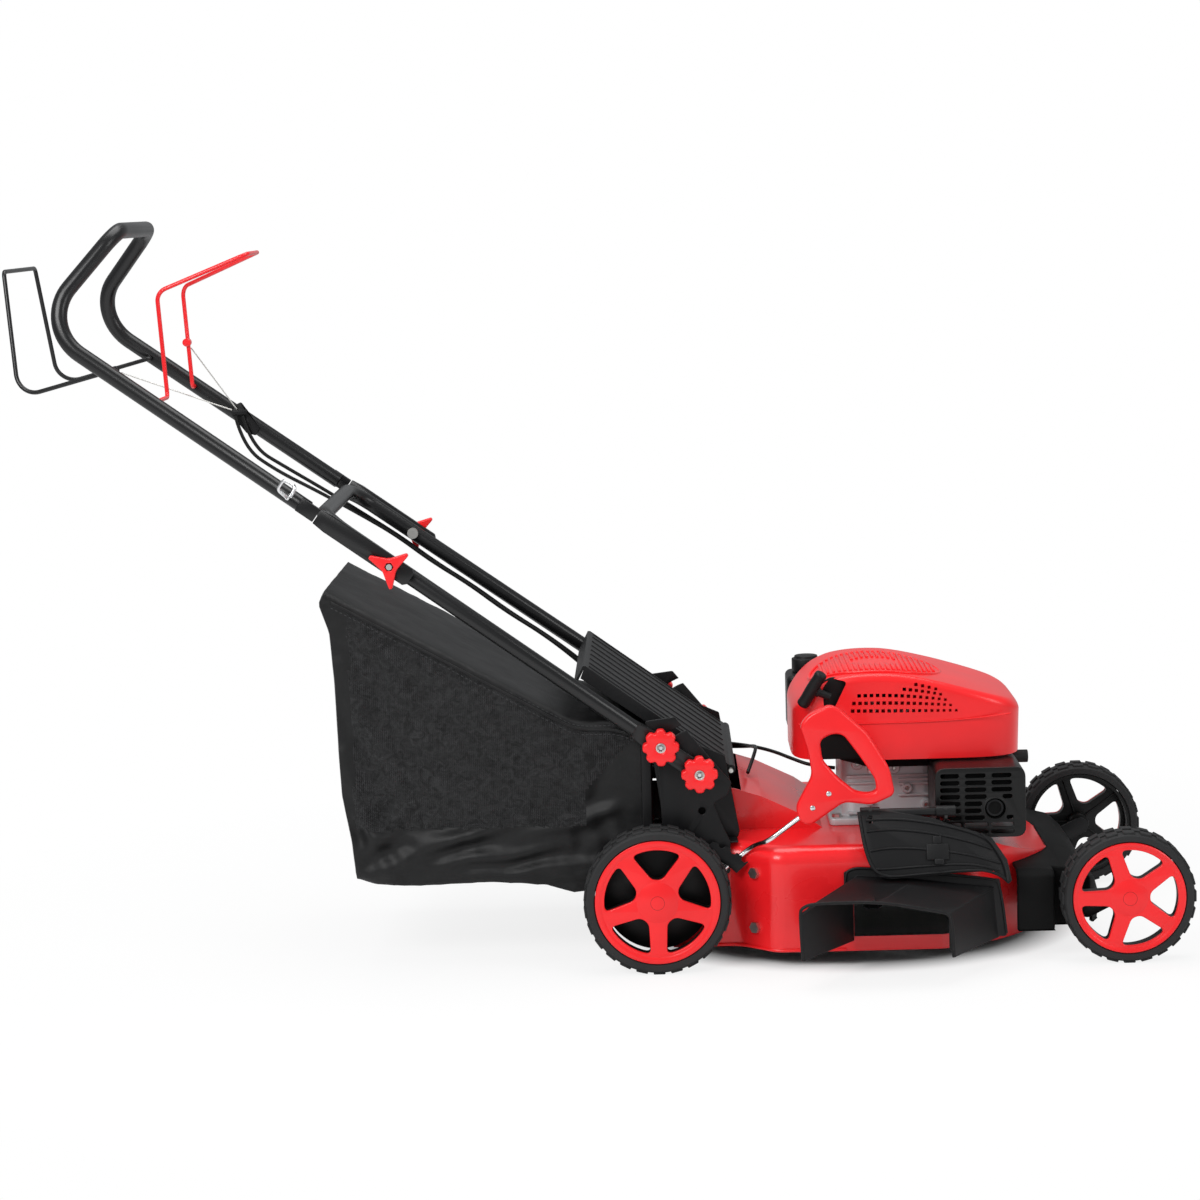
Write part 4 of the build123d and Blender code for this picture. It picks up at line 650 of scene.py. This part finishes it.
vents = []
for (x_a, z_a), (x_b, z_b), bow, count in (
    ((274.7, 333.9), (416.7, 331.3), 0.0, 18), ((276.7, 344.4), (409.0, 339.0), 1.6, 17),
    ((284.0, 354.9), (402.0, 346.6), 2.6, 15), ((346.0, 362.4), (395.5, 354.2), 0.8, 7),
    ((362.0, 368.6), (389.0, 361.8), 0.3, 4),
):
    for k in range(count):
        t = k / (count - 1)
        x, z = x_a + (x_b - x_a) * t, z_a + (z_b - z_a) * t + bow * 4 * t * (1 - t)
        size = 5.0 - 1.4 * soft_step(330, 420, x)
        vents.append(block(spot(x, -140, z), (size, 30, size)))
carve(housing, join(vents[0], vents[1:]))
notch = [(226, 262), (228, 296), (236, 303), (262, 303), (286, 280), (290, 258), (226, 255)]
pocket = [(234, 366), (246, 379), (268, 375), (250, 338), (236, 334)]
carve(housing, plate("housing_notch", [soft(notch, 9)], -150, -120, 0, "chassis", None, settled=False))
carve(housing, plate("handle_pocket", [soft(pocket, 6)], -150, -118, 0, "chassis", None, settled=False))
settle(housing, "chassis", red_plastic, "blower_housing", smooth=35)
# A near-black sheet behind the notch is painted shade inside the housing.
plate("painted_shade_in_housing", [soft([(216, 266), (216, 306), (250, 312), (298, 306), (298, 266)], 6)],
      -131.5, -129.5, 0.3, "chassis", dark_inside)
plate("handle_pocket_floor", [soft([(228, 330), (232, 372), (246, 380), (274, 376), (262, 334)], 6)],
      -126, -122, 0.5, "chassis", black_plastic)

# Ribs run across an oval on the roof, and stop at the plain round place in its middle.
oval_x, oval_y = 312, -38
ribs = []
for k in range(-10, 12):
    x = oval_x + 7.4 * k
    half = 82 * sqrt(max(0, 1 - ((x - oval_x) / 86) ** 2))
    if half < 12:
        continue
    slope = atan2(roof_height(x - 3) - roof_height(x + 3), 6)
    spans = [(oval_y - half, oval_y + half)]
    if abs(x - oval_x) < 34:
        plain = 30 * sqrt(1 - ((x - oval_x) / 36) ** 2)
        spans = [(oval_y - half, oval_y - plain), (oval_y + plain, oval_y + half)]
    for low, high in spans:
        ribs.append(block(spot(x, (low + high) / 2, roof_height(x) - 0.6), (3.6, high - low, 5.2),
                          (0, slope, 0)))
roof_ribs = join(ribs[0], ribs[1:])
roof_ribs.name = "housing_ribs"
round_off(roof_ribs, 0.0009, 2)
settle(roof_ribs, "chassis", red_plastic)
oval = []
for angle in range(0, 361, 12):
    x = oval_x + 92 * cos(radians(angle))
    oval.append((x, oval_y + 89 * sin(radians(angle)), roof_height(x) - 1.2))
rod("housing_oval", oval, 2.4, "chassis", red_plastic)
rod("housing_seam", [(200, -141.2, 318), (300, -141.2, 316), (400, -141.2, 317), (470, -141.0, 322),
                     (492, -136, 325)], 0.9, "chassis", red_plastic)

# ---- starter handle -----------------------------------------------------------------
# Black moulded grip of the pull starter, on a stem that the rope runs through.
grip_line = [(205.5, -131.2, 342.5), (211, -134.5, 351), (219.5, -139.8, 366), (228, -144.8, 380.5),
             (233, -147.6, 389)]
rod("starter_grip", [grip_line[0]] + grip_line + [grip_line[-1]], 9.2, "pull_handle", black_plastic,
    "starter_handle", girths=(0.55, 0.98, 0.9, 0.98, 0.9, 0.98, 0.55), rounds=6, steps=12)
rod("starter_stem", [(219, -139, 365), (232, -137.7, 359.4), (244, -136.4, 354.3)], 5.2, "pull_handle",
    black_plastic)
rod("starter_collar", [(224, -138.5, 362.9), (229, -138, 360.7)], 6.8, "pull_handle", black_plastic)

# ---- engine -------------------------------------------------------------------------
# Cast aluminium crankcase and finned cylinder with machined bosses and zinc screws, a
# rubber boot on the spark plug, and a black plastic tank and filter box on the far side.


def ease(name, width, material, smooth=40, turn_limit=25):
    """Round the edges of a rigid piece: a merged, bevelled copy of its mesh stands for it."""
    source = nodes[name]
    piece = bpy.data.objects.new(f"{name}_piece", source.data.copy())
    bpy.context.scene.collection.objects.link(piece)
    alone(piece)
    bpy.ops.object.mode_set(mode="EDIT")
    bpy.ops.mesh.select_all(action="SELECT")
    bpy.ops.mesh.remove_doubles(threshold=0.00002)
    bpy.ops.mesh.dissolve_limited(angle_limit=radians(1.5))
    bpy.ops.object.mode_set(mode="OBJECT")
    if width:
        edge = piece.modifiers.new("edge", "BEVEL")
        edge.width = width / 1000
        edge.segments = 2
        edge.limit_method = "ANGLE"
        edge.angle_limit = radians(turn_limit)
        edge.use_clamp_overlap = False
        bpy.ops.object.modifier_apply(modifier="edge")
    return settle(piece, body_of(source)[0], material, name, smooth=smooth)


def lathe(name, profile, x, z, body, material, *stands_for, steps=96, smooth=35, settled=True):
    """Turned piece: a closed profile of (radius, distance from the middle), spun round x, z."""
    drawing = bpy.data.curves.new(name, "CURVE")
    drawing.dimensions = "3D"
    line = drawing.splines.new("POLY")
    line.points.add(len(profile) - 1)
    line.use_cyclic_u = True
    for knot, (radius, y) in zip(line.points, profile):
        knot.co = (*spot(x + radius, y, z), 1)
    piece = as_mesh(name, drawing)
    bpy.ops.object.mode_set(mode="EDIT")
    bpy.ops.mesh.select_all(action="SELECT")
    bpy.ops.mesh.spin(steps=steps, angle=2 * pi, center=spot(x, 0, z), axis=(0, 1, 0))
    bpy.ops.mesh.select_all(action="SELECT")
    bpy.ops.mesh.remove_doubles(threshold=0.00002)
    bpy.ops.mesh.delete_loose()
    bpy.ops.mesh.select_all(action="SELECT")
    bpy.ops.mesh.normals_make_consistent(inside=False)
    bpy.ops.object.mode_set(mode="OBJECT")
    return settle(piece, body, material, *stands_for, smooth=smooth) if settled else piece


cast_metal = finish("cast_metal", (0.50, 0.52, 0.53), 0.45, metal=0.25, grain=1500, bump=0.25, mottle=0.12,
                    slot="cast_aluminium")
bright_metal = finish("bright_metal", (0.66, 0.66, 0.67), 0.26, metal=1.0, grain=600, bump=0.02,
                      slot="bright_steel")
soft_rubber = finish("soft_rubber", (0.012, 0.012, 0.012), 0.6, grain=1500, bump=0.1, shine=0.3)
dark_iron = finish("dark_iron", (0.018, 0.018, 0.019), 0.55, metal=0.4, grain=900, bump=0.2, shine=0.3,
                   slot="cast_iron_grey")
ease("crankcase", 1.6, cast_metal)
ease("cylinder", 0.5, cast_metal)
ease("gearbox", 1.5, cast_metal)
ease("flywheel", 0.5, cast_metal)
ease("spark_plug", 1.0, soft_rubber)
ease("fuel_tank", 1.2, black_plastic)
ease("fuel_cap", 1.2, black_plastic)
ease("air_filter", 2.0, black_plastic)
dress(bright_metal, "crankshaft", "drive_shaft")
dress(dark_iron, "blade", "blade_adapter", "gearbox_pulley")
dress(dark_inside, "muffler")
dress(soft_rubber, "drive_belt")
dress(black_plastic, "recoil_pulley")
bosses = [(283, 250, 6.5), (334, 243, 7), (352, 214, 6), (271, 208, 5.5), (378, 190, 6), (300, 196, 5)]
for number, (x, z, size) in enumerate(bosses):
    lathe(f"engine_boss_{number}", [
        (0, -83), (size + 2.5, -83), (size + 1.6, -88), (size, -90.5), (3.2, -90.5), (3.2, -87.5), (0, -87.5),
    ], x, z, "chassis", cast_metal, steps=28)
    lathe(f"engine_screw_{number}", [(0, -87), (2.9, -87), (2.9, -89.6), (2.2, -90.2), (0, -90.2)], x, z,
          "chassis", zinc_metal, steps=6, smooth=20)
casting_ribs = [(268, 386, 232, 3.5), (340, 388, 226, 3), (340, 388, 220, 3), (268, 330, 222, 2.5),
                (340, 388, 204, 3), (268, 386, 180, 4)]
for number, (x_a, x_b, z, depth) in enumerate(casting_ribs):
    plate(f"engine_rib_{number}", [soft([(x_a, z - 1.6), (x_a, z + 1.6), (x_b, z + 1.6), (x_b, z - 1.6)], 1.2)],
          -83, -84 - depth, 0.5, "chassis", cast_metal)
# A near-black strip under the housing is painted shade in the gap above the crankcase.
plate("painted_shade_under_housing", [soft([(258, 258), (300, 246), (394, 246), (398, 263), (258, 263)], 5)], -95, -88, 1,
      "chassis", dark_inside)

# ---- silencer guard -----------------------------------------------------------------
# Black pressed steel guard screwed over the silencer: three columns of rounded slots, and a
# collared hole for the exhaust.


def turned(x, z, radius, angle):
    """Point at a radius round x, z and at an angle in degrees."""
    return (x + radius * cos(radians(angle)), z + radius * sin(radians(angle)))


def circle(x, z, radius, step):
    """Points round a circle, one every so many degrees."""
    return [turned(x, z, radius, angle) for angle in range(0, 360, step)]


guard_edge = soft([(380.9, 165.3), (503.4, 165.3), (503.4, 261.8), (380.4, 261.8)], 14)
exhaust_x, exhaust_z = 462, 205
hole_r, collar_r = 14.5, 19.5
slots = []
for row in range(9):
    z = 250.8 - 9.7 * row
    for x_a, x_b in ((386.5, 413), (420, 449), (456, 484)):
        x_a, x_b = x_a - 0.25 * row + 1.5, x_b + 0.35 * row
        if hypot(max(x_a - exhaust_x, exhaust_x - x_b, 0), z - exhaust_z) < collar_r:
            beside = sqrt(max(0, collar_r**2 - (z - exhaust_z) ** 2))
            if x_b > 466:
                x_a = exhaust_x + beside
            else:
                x_b = exhaust_x - beside
        if x_b - x_a > 9:
            slots.append(soft([(x_a, z - 2.9), (x_a, z + 2.9), (x_b, z + 2.9), (x_b, z - 2.9)], 2.8, 3))
guard_paint = finish("guard_paint", (0.005, 0.005, 0.005), 0.36, grain=900, bump=0.06, shine=0.28,
                     slot="black_paint")
plate("guard_face", [guard_edge, circle(exhaust_x, exhaust_z, hole_r, 10)] + slots, -198.8, -195.8, 1.1,
      "chassis", guard_paint, "muffler_guard")
guard_in = [(442 + (x - 442) * 0.966, 213.5 + (z - 213.5) * 0.956) for x, z in guard_edge]
plate("guard_wall", [guard_edge, guard_in], -196.5, -92, 0.6, "chassis", guard_paint)
lathe("guard_collar", [(14.2, -190), (14.2, -198.6), (16.2, -199), (18.2, -197.5), (18.2, -190)], exhaust_x,
      exhaust_z, "chassis", guard_paint, steps=48)
lathe("exhaust_pipe", [(9, -178), (9, -193), (11.5, -193), (11.5, -178)], exhaust_x, exhaust_z, "chassis",
      dark_iron, steps=40)

# ---- chute, side door and front cover -----------------------------------------------
# Matte black mouldings: the side chute with rolled lips, the ribbed door that rests over
# it on a steel rod, and the hood over the front axle.
ease("front_cover", 3.0, dark_inside, smooth=45)
ease("discharge_chute", 0.9, black_plastic)
ease("side_door", 0.8, black_plastic)
for number, x in enumerate((290, 392)):
    rod(f"door_knuckle_{number}", [(x - 13, -222, 208), (x, -222, 208), (x + 13, -222, 208)], 8.2, "chassis",
        black_plastic)
lip = [(190, 37), (187, 99), (190, 108), (206, 114), (293, 114), (370, 99), (383, 95), (388, 84), (390, 37)]
rod("chute_lip", [(x, -339.2, z) for x, z in lip], 2.2, "chassis", black_plastic)
hook_line = [(252, 40), (252, 128), (262, 136), (278, 137), (352, 129), (452, 118), (463, 112), (470, 42)]
rod("chute_hook", [(x, -240.6, z) for x, z in hook_line], 2.0, "chassis", black_plastic)
rod("chute_crease", [(386, -332, 96), (415, -292, 100), (453, -243, 106)], 1.3, "chassis", black_plastic)
plate("chute_panel", [soft([(394, 44), (393, 84), (384, 92), (384, 44)], 3)], -332, -330, 0.6, "chassis",
      black_plastic)


def on_door(x, z, out=0.0):
    """Place on the door's outer face, and a little out of it."""
    y = -227 - 36 * min(1, max(0, (216 - z) / 98)) - out
    return (x, y, z + 0.37 * out)


for number, table in enumerate((
    [(284, 200), (306, 202), (340, 200), (372, 195), (404, 188), (434, 178.5), (446, 172)],
    [(284, 186), (306, 188.5), (340, 186.5), (372, 182), (404, 175), (434, 167), (452, 160)],
    [(288, 161), (306, 164.5), (340, 164), (372, 161), (404, 156.5), (434, 150.5), (462, 142)],
    [(292, 138), (306, 137.5), (340, 139.5), (372, 141), (404, 142), (434, 140.5), (460, 133)],
)):
    rod(f"door_rib_{number}", [on_door(x, z, 0.4) for x, z in table], 1.7, "chute_door", black_plastic)
for edge_name, table, radius in (
    ("front", [(437, 180), (449, 171), (459, 156), (466, 143), (470, 128), (470.5, 119)], 2.3),
    ("rear", [(275, 207), (277, 190), (281, 165), (287, 145), (297, 131), (313, 128)], 2.3),
    ("foot", [(300, 129), (314, 127.5), (357, 130.5), (404, 133.5), (450, 134), (468, 121)], 1.8),
):
    rod(f"door_rim_{edge_name}", [on_door(x, z, 0.6) for x, z in table], radius, "chute_door", black_plastic)
door_tilt = radians(-20.2)
for name, x_a, x_b, z_a, z_b, out in (
    ("door_latch", 363, 393, 147, 169, 3.2), ("door_catch", 373, 386, 141, 149, 5.5),
    ("door_pad", 372, 384, 168, 179, 2.2),
):
    boss = block(spot(*on_door((x_a + x_b) / 2, (z_a + z_b) / 2, out / 2)), (x_b - x_a, out, z_b - z_a),
                 (door_tilt, 0, 0))
    boss.name = name
    round_off(boss, 0.0012, 3)
    settle(boss, "chute_door", black_plastic)

# ---- wheels -------------------------------------------------------------------------
# Plastic wheels: a black hub and barrel moulded with five spokes, a glossy red face over
# them, and a black rubber tyre with blocks on its tread. They turn on stub axles.
tyre_rubber = finish("tyre_rubber", (0.021, 0.021, 0.0215), 0.66, grain=1300, bump=0.12, mottle=0.12,
                     shine=0.25)
dish_plastic = finish("dish_plastic", (0.006, 0.006, 0.006), 0.42, grain=1500, bump=0.08, shine=0.25,
                      slot="black_plastic")
# Each axle's place, the radii of its tyre and rim, the widths of ring and spoke, the angle of
# its first spoke and the number of blocks round its tread.
for where, x, z, tyre_r, rim_r, ring, spoke_w, first, blocks in (
    ("rear", 0, 100, 100, 84.9, 12.5, 24, 270, 26), ("front", 634, 90, 90, 75.9, 10, 21, 180, 24),
):
    inner, outer = 31.5 if where == "rear" else 28.5, rim_r - ring
    hub = inner - 3
    shoulder = tyre_r - 2.4
    gap_out = (spoke_w / 2 - 1) / outer * 180 / pi
    gap_in = (spoke_w / 2 + 1) / inner * 180 / pi
    windows = []
    for k in range(5):
        low, high = first + 72 * k, first + 72 * (k + 1)
        windows.append(soft([turned(x, z, r, a) for a, r in (
            (low + gap_out, outer), (low + 22, outer), (low + 36, outer), (high - 22, outer),
            (high - gap_out, outer), (high - gap_in, inner), (low + gap_in, inner),
        )], 11, 7))
    for side_name, side in (("right", -1), ("left", 1)):
        body = f"wheel_{where}_{side_name}"
        y_in, y_out = side * 213, side * 258
        tyre = lathe(f"tyre_{where}_{side_name}_rubber", [
            (rim_r + 0.2, y_in + side * 3), (rim_r + 1.5, y_in), (rim_r + 9, y_in),
            (shoulder - 1.6, y_in + side * 1.2), (shoulder, y_in + side * 4), (shoulder, y_out - side * 4),
            (shoulder - 1.6, y_out - side * 1.2), (rim_r + 9, y_out), (rim_r + 1.5, y_out - side * 0.4),
            (rim_r + 0.2, y_out - side * 3),
        ], x, z, body, tyre_rubber, steps=144, settled=False)
        treads = []
        for near, far, shift, share in ((3.2, 16, 0, 0.66), (16.8, 28.2, 0.5, 0.5), (29, 41.8, 0, 0.66)):
            angle = -90 + 360 / blocks * shift
            block_x, block_z = turned(x, z, tyre_r - 1.7, angle)
            tread = block(spot(block_x, y_in + side * (near + far) / 2, block_z),
                          (2 * pi * tyre_r / blocks * share, far - near, 3.3), (0, pi / 2 - radians(angle), 0))
            bpy.ops.object.mode_set(mode="EDIT")
            bpy.ops.mesh.select_all(action="SELECT")
            bpy.ops.mesh.bevel(offset=0.0008, segments=1)
            bpy.ops.mesh.select_all(action="SELECT")
            bpy.ops.mesh.spin(steps=blocks - 1, dupli=True, angle=2 * pi * (blocks - 1) / blocks,
                              center=spot(x, 0, z), axis=(0, 1, 0))
            bpy.ops.object.mode_set(mode="OBJECT")
            treads.append(tread)
        settle(join(tyre, treads), body, tyre_rubber, f"tyre_{where}_{side_name}", smooth=30)
        plate(f"rim_face_{where}_{side_name}", [circle(x, z, rim_r - 0.2, 3)] + windows, side * 256.6,
              side * 250.5, 1.6, body, red_plastic, f"rim_{where}_{side_name}")
        plate(f"rim_spokes_{where}_{side_name}", [circle(x, z, rim_r - 3, 3)] + windows, side * 250.6,
              side * 238, 0.8, body, dish_plastic)
        for part, profile, material, steps in (
            ("lip", [(rim_r - 0.4, 255), (rim_r - 0.4, 257.6), (rim_r - 2, 258.4), (rim_r - ring + 5, 257.6),
                     (rim_r - ring + 2.5, 256), (rim_r - ring + 2.5, 255)], red_plastic, 96),
            ("barrel", [(rim_r - 0.3, 216), (rim_r - 0.3, 252), (rim_r - 4.5, 252), (rim_r - 4.5, 216)],
             dish_plastic, 96),
            ("hub", [(0, 261.4), (8, 261.2), (15, 260), (hub - 4, 258), (hub, 256.4), (hub, 253), (0, 253)],
             red_plastic, 96),
            ("boss", [(6.1, 215.5), (14.5, 215.5), (15, 217), (15, 252), (6.1, 252)], dish_plastic, 48),
        ):
            lathe(f"rim_{part}_{where}_{side_name}", [(r, side * y) for r, y in profile], x, z, body, material,
                  steps=steps)
        for k in range(5):
            spine = [turned(x, z, r, first + 72 * k) for r in (15, (15 + rim_r) / 2, rim_r - 4)]
            rod(f"rim_rib_{where}_{side_name}_{k}", [(a, side * 237.4, b) for a, b in spine], 1.4, body,
                dish_plastic)

# ---- height adjustment --------------------------------------------------------------
# Steel arms, a link rod and a notched black plate; a chromed lever rod carries a red grip
# that is riveted on.
chrome = finish("chrome", (0.72, 0.72, 0.73), 0.16, metal=1.0, grain=500, bump=0.01,
                slot="bright_steel")
ease("rear_axle", 0.6, black_paint)
ease("front_axle", 0.6, black_paint)
ease("link_rod", 0.4, zinc_metal)
ease("height_quadrant", 0.4, black_paint)
ease("gear_covers", 0.6, dish_plastic)
rod("lever_rod", [(60, -204.2, 110), (78, -204.2, 123.4), (97.3, -204.2, 137.2), (116, -204.2, 151),
                  (127, -206, 160), (137, -216, 167.5), (148, -236, 174.8), (160, -241, 183.5),
                  (198.6, -241, 211.5), (220, -241, 226.6), (232, -241, 235)], 3.5, "rear_lift", chrome,
    "height_lever")

grip_edge = [(237, 359), (211, 347.5), (199.0, 333), (209.2, 298.7), (214.0, 267.2), (191.5, 225.4),
             (197.6, 205.6), (210.4, 201.3), (254, 231.6), (290, 226.5), (319.5, 239.6), (312.8, 274.4),
             (285.4, 321.4), (250, 353.8)]
finger_edge = [(226.4, 311), (241.7, 319.2), (255.3, 317.6), (272.2, 294.1), (293, 262.1), (295, 247.5),
               (285.5, 243.8), (269.2, 246.2), (248.3, 263.8), (229.6, 286)]
grip_edge = [(252 + (x - 252) * 1.05, 282 + (z - 282) * 1.04) for x, z in grip_edge]
finger_edge = [(262 + (x - 262) * 1.1, 280 + (z - 280) * 1.1) for x, z in finger_edge]
plate("lever_grip_shell", [soft(grip_edge, 9), soft(finger_edge, 8)], -250, -232, 4.5, "rear_lift", red_plastic,
      "lever_grip", smooth=50)
for number, (x, z) in enumerate(((233.5, 242), (211.5, 223))):
    lathe(f"grip_rivet_{number}", [(0, -251.6), (1.8, -251.4), (3.4, -250.6), (3.9, -249.4), (0, -249.4)], x, z,
          "rear_lift", bright_metal, steps=24)

# ---- handles ------------------------------------------------------------------------
# Bent steel tubes painted satin black, flattened where they bolt together. The lower one
# turns on the brackets beside the deck, and the upper one folds down at the wing knobs.
tube_paint = finish("tube_paint", (0.006, 0.006, 0.0065), 0.3, grain=900, bump=0.03, shine=0.4,
                    slot="black_paint")
ease("handle_brackets", 0.8, black_paint)
ease("rear_frame", 0.8, black_paint)
ease("lower_handle", 0.8, tube_paint, turn_limit=40)
ease("upper_handle", 0.8, tube_paint, turn_limit=40)
ease("cable_bracket", 0.5, black_paint)
dress(zinc_metal, "handle_bolts", "bail_wires", "hinge_rods")
ease("rope_guide", 0, bright_metal, smooth=60)
ease("stop_bail", 0, red_paint, smooth=60)
ease("drive_bail", 0, tube_paint, smooth=60)

# ---- knobs --------------------------------------------------------------------------
# Red moulded star knobs on the lower handle's bolts, and three-winged knobs at the joint
# of the two handles. A steel nut is pressed into each.
rear_bolt, front_bolt, fold = (10, 304.9), (61.4, 266.4), (-347, 561.7)
fold_x, fold_z = fold
wing_in = 210.1
for side_name, side in (("right", -1), ("left", 1)):
    for where, (x, z) in (("rear", rear_bolt), ("front", front_bolt)):
        lobes = []
        for k in range(8):
            for turn, r in ((-11, 25.2), (11, 25.2), (22.5, 19.2)):
                lobes.append(turned(x, z, r, 90 + 45 * k + turn))
        body = f"knob_{where}_{side_name}"
        plate(f"star_{where}_{side_name}", [soft(lobes, 5, 4), circle(x, z, 6.6, 15)], side * 206.9,
              side * 224.9, 2.6, body, red_plastic, f"star_knob_{where}_{side_name}", smooth=50)
        lathe(f"star_nut_{where}_{side_name}", [(r, side * y) for r, y in (
            (4.2, 207.2), (6.7, 207.2), (6.7, 223.4), (5.4, 223.8), (4.2, 222.6))], x, z, body, zinc_metal,
            steps=32)
        lathe(f"star_bolt_{where}_{side_name}", [(r, side * y) for r, y in (
            (0, 214), (3.2, 214), (3.2, 222), (2.2, 223), (0, 223))], x, z, body, bright_metal, steps=24)
    wings = []
    for k in range(3):
        wings += [turned(*fold, r, 32 + 120 * k + turn) for turn, r in ((-4, 30), (4, 30), (60, 10.6))]
    body = f"wing_{side_name}"
    plate(f"wing_{side_name}", [soft(wings, 3, 4), circle(*fold, 6, 60)], side * (wing_in + 6),
          side * (wing_in + 18), 1.6, body, red_plastic, f"wing_knob_{side_name}", smooth=50)
    lathe(f"wing_collar_{side_name}", [(r, side * (wing_in + y)) for r, y in (
        (4.2, 0), (10.6, 0), (11.4, 9), (4.2, 9))], *fold, body, red_plastic, steps=40)
    lathe(f"wing_nut_{side_name}", [(r, side * (wing_in + y)) for r, y in (
        (0, 10), (6, 10), (6, 13), (0, 13))], *fold, body, dark_inside, steps=6, smooth=20)

# ---- control cables -----------------------------------------------------------------
# Black plastic sheaths over steel wire, held under the left tube from the bails' bracket
# down to the throttle and the gearbox. They bend beside the deck when the handle is folded.
sheath = finish("sheath", (0.005, 0.005, 0.005), 0.42, grain=900, bump=0.03, shine=0.25,
                slot="cable_sheath")
incline = (fold_z - front_bolt[1]) / (front_bolt[0] - fold_x)
lean = atan2(fold_z - front_bolt[1], fold_x - front_bolt[0])


def below(x, y, drop):
    """Place under the left leg, at a distance below the handle's line."""
    z = fold_z + (fold_x - x) * incline
    return (x - drop * cos(lean - pi / 2), y, z - drop * sin(lean - pi / 2))


stop_line = [
    (-590, 175, 742), below(-563, 175, 27), below(-515, 184, 25), below(-460, 188, 21), below(-409, 188, 18.5),
    below(-356, 188, 16), below(-304, 187.6, 18.5), below(-251, 188, 16), below(-197, 188.4, 18.5),
    below(-143, 188, 16), below(-90, 187.8, 19), below(-38, 187.5, 27), (2, 186.5, 286), (48, 184, 250),
    (96, 180, 236), (138, 160, 234), (172, 124, 232), (200, 88, 226), (228, 70, 218), (261, 66, 215),
]
drive_line = [
    (-600, 170, 742), below(-570, 170, 34), below(-523, 177, 36), below(-470, 181, 28), below(-418, 182, 22),
    below(-364, 182, 17), below(-311, 181.8, 20), below(-258, 182, 17), below(-204, 182.2, 20),
    below(-150, 182, 17), below(-97, 181.8, 21), below(-46, 181.6, 31), (-4, 181, 279), (42, 180, 243),
    (100, 181, 229), (135, 161, 232), (146, 122, 240), (148, 82, 246), (143, 42, 240), (133, 12, 222),
]
stop_cable = rod("stop_cable", stop_line, 2.6, None, sheath, "control_cables")
drive_cable = rod("drive_cable", drive_line, 2.6, None, sheath)
for cable in (stop_cable, drive_cable):
    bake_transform(cable, "chassis", "lower_handle_group", start=spot(112, 175, 230), end=spot(-40, 186, 305))

# ---- rear flap ----------------------------------------------------------------------
# Black moulded flap over the bag's mouth, with long ribs on its back. It turns on a steel
# rod and its spring holds it down on the bag.
dress(black_plastic, "rear_flap")
flap_turn = radians(143.6)


def on_flap(length, y, rise):
    """Place a length up the flap, y across it and a rise above its middle."""
    return (105 + length * cos(flap_turn) + rise * cos(flap_turn - pi / 2), y,
            262 + length * sin(flap_turn) + rise * sin(flap_turn - pi / 2))


for number, y in enumerate((-150, -120, -80, -40, 0, 40, 80, 120, 150)):
    rod(f"flap_rib_{number}", [on_flap(length, y, 4.1) for length in (12, 126, 240)], 1.6, "flap",
        black_plastic)
ease("bag_frame", 1.5, black_plastic)
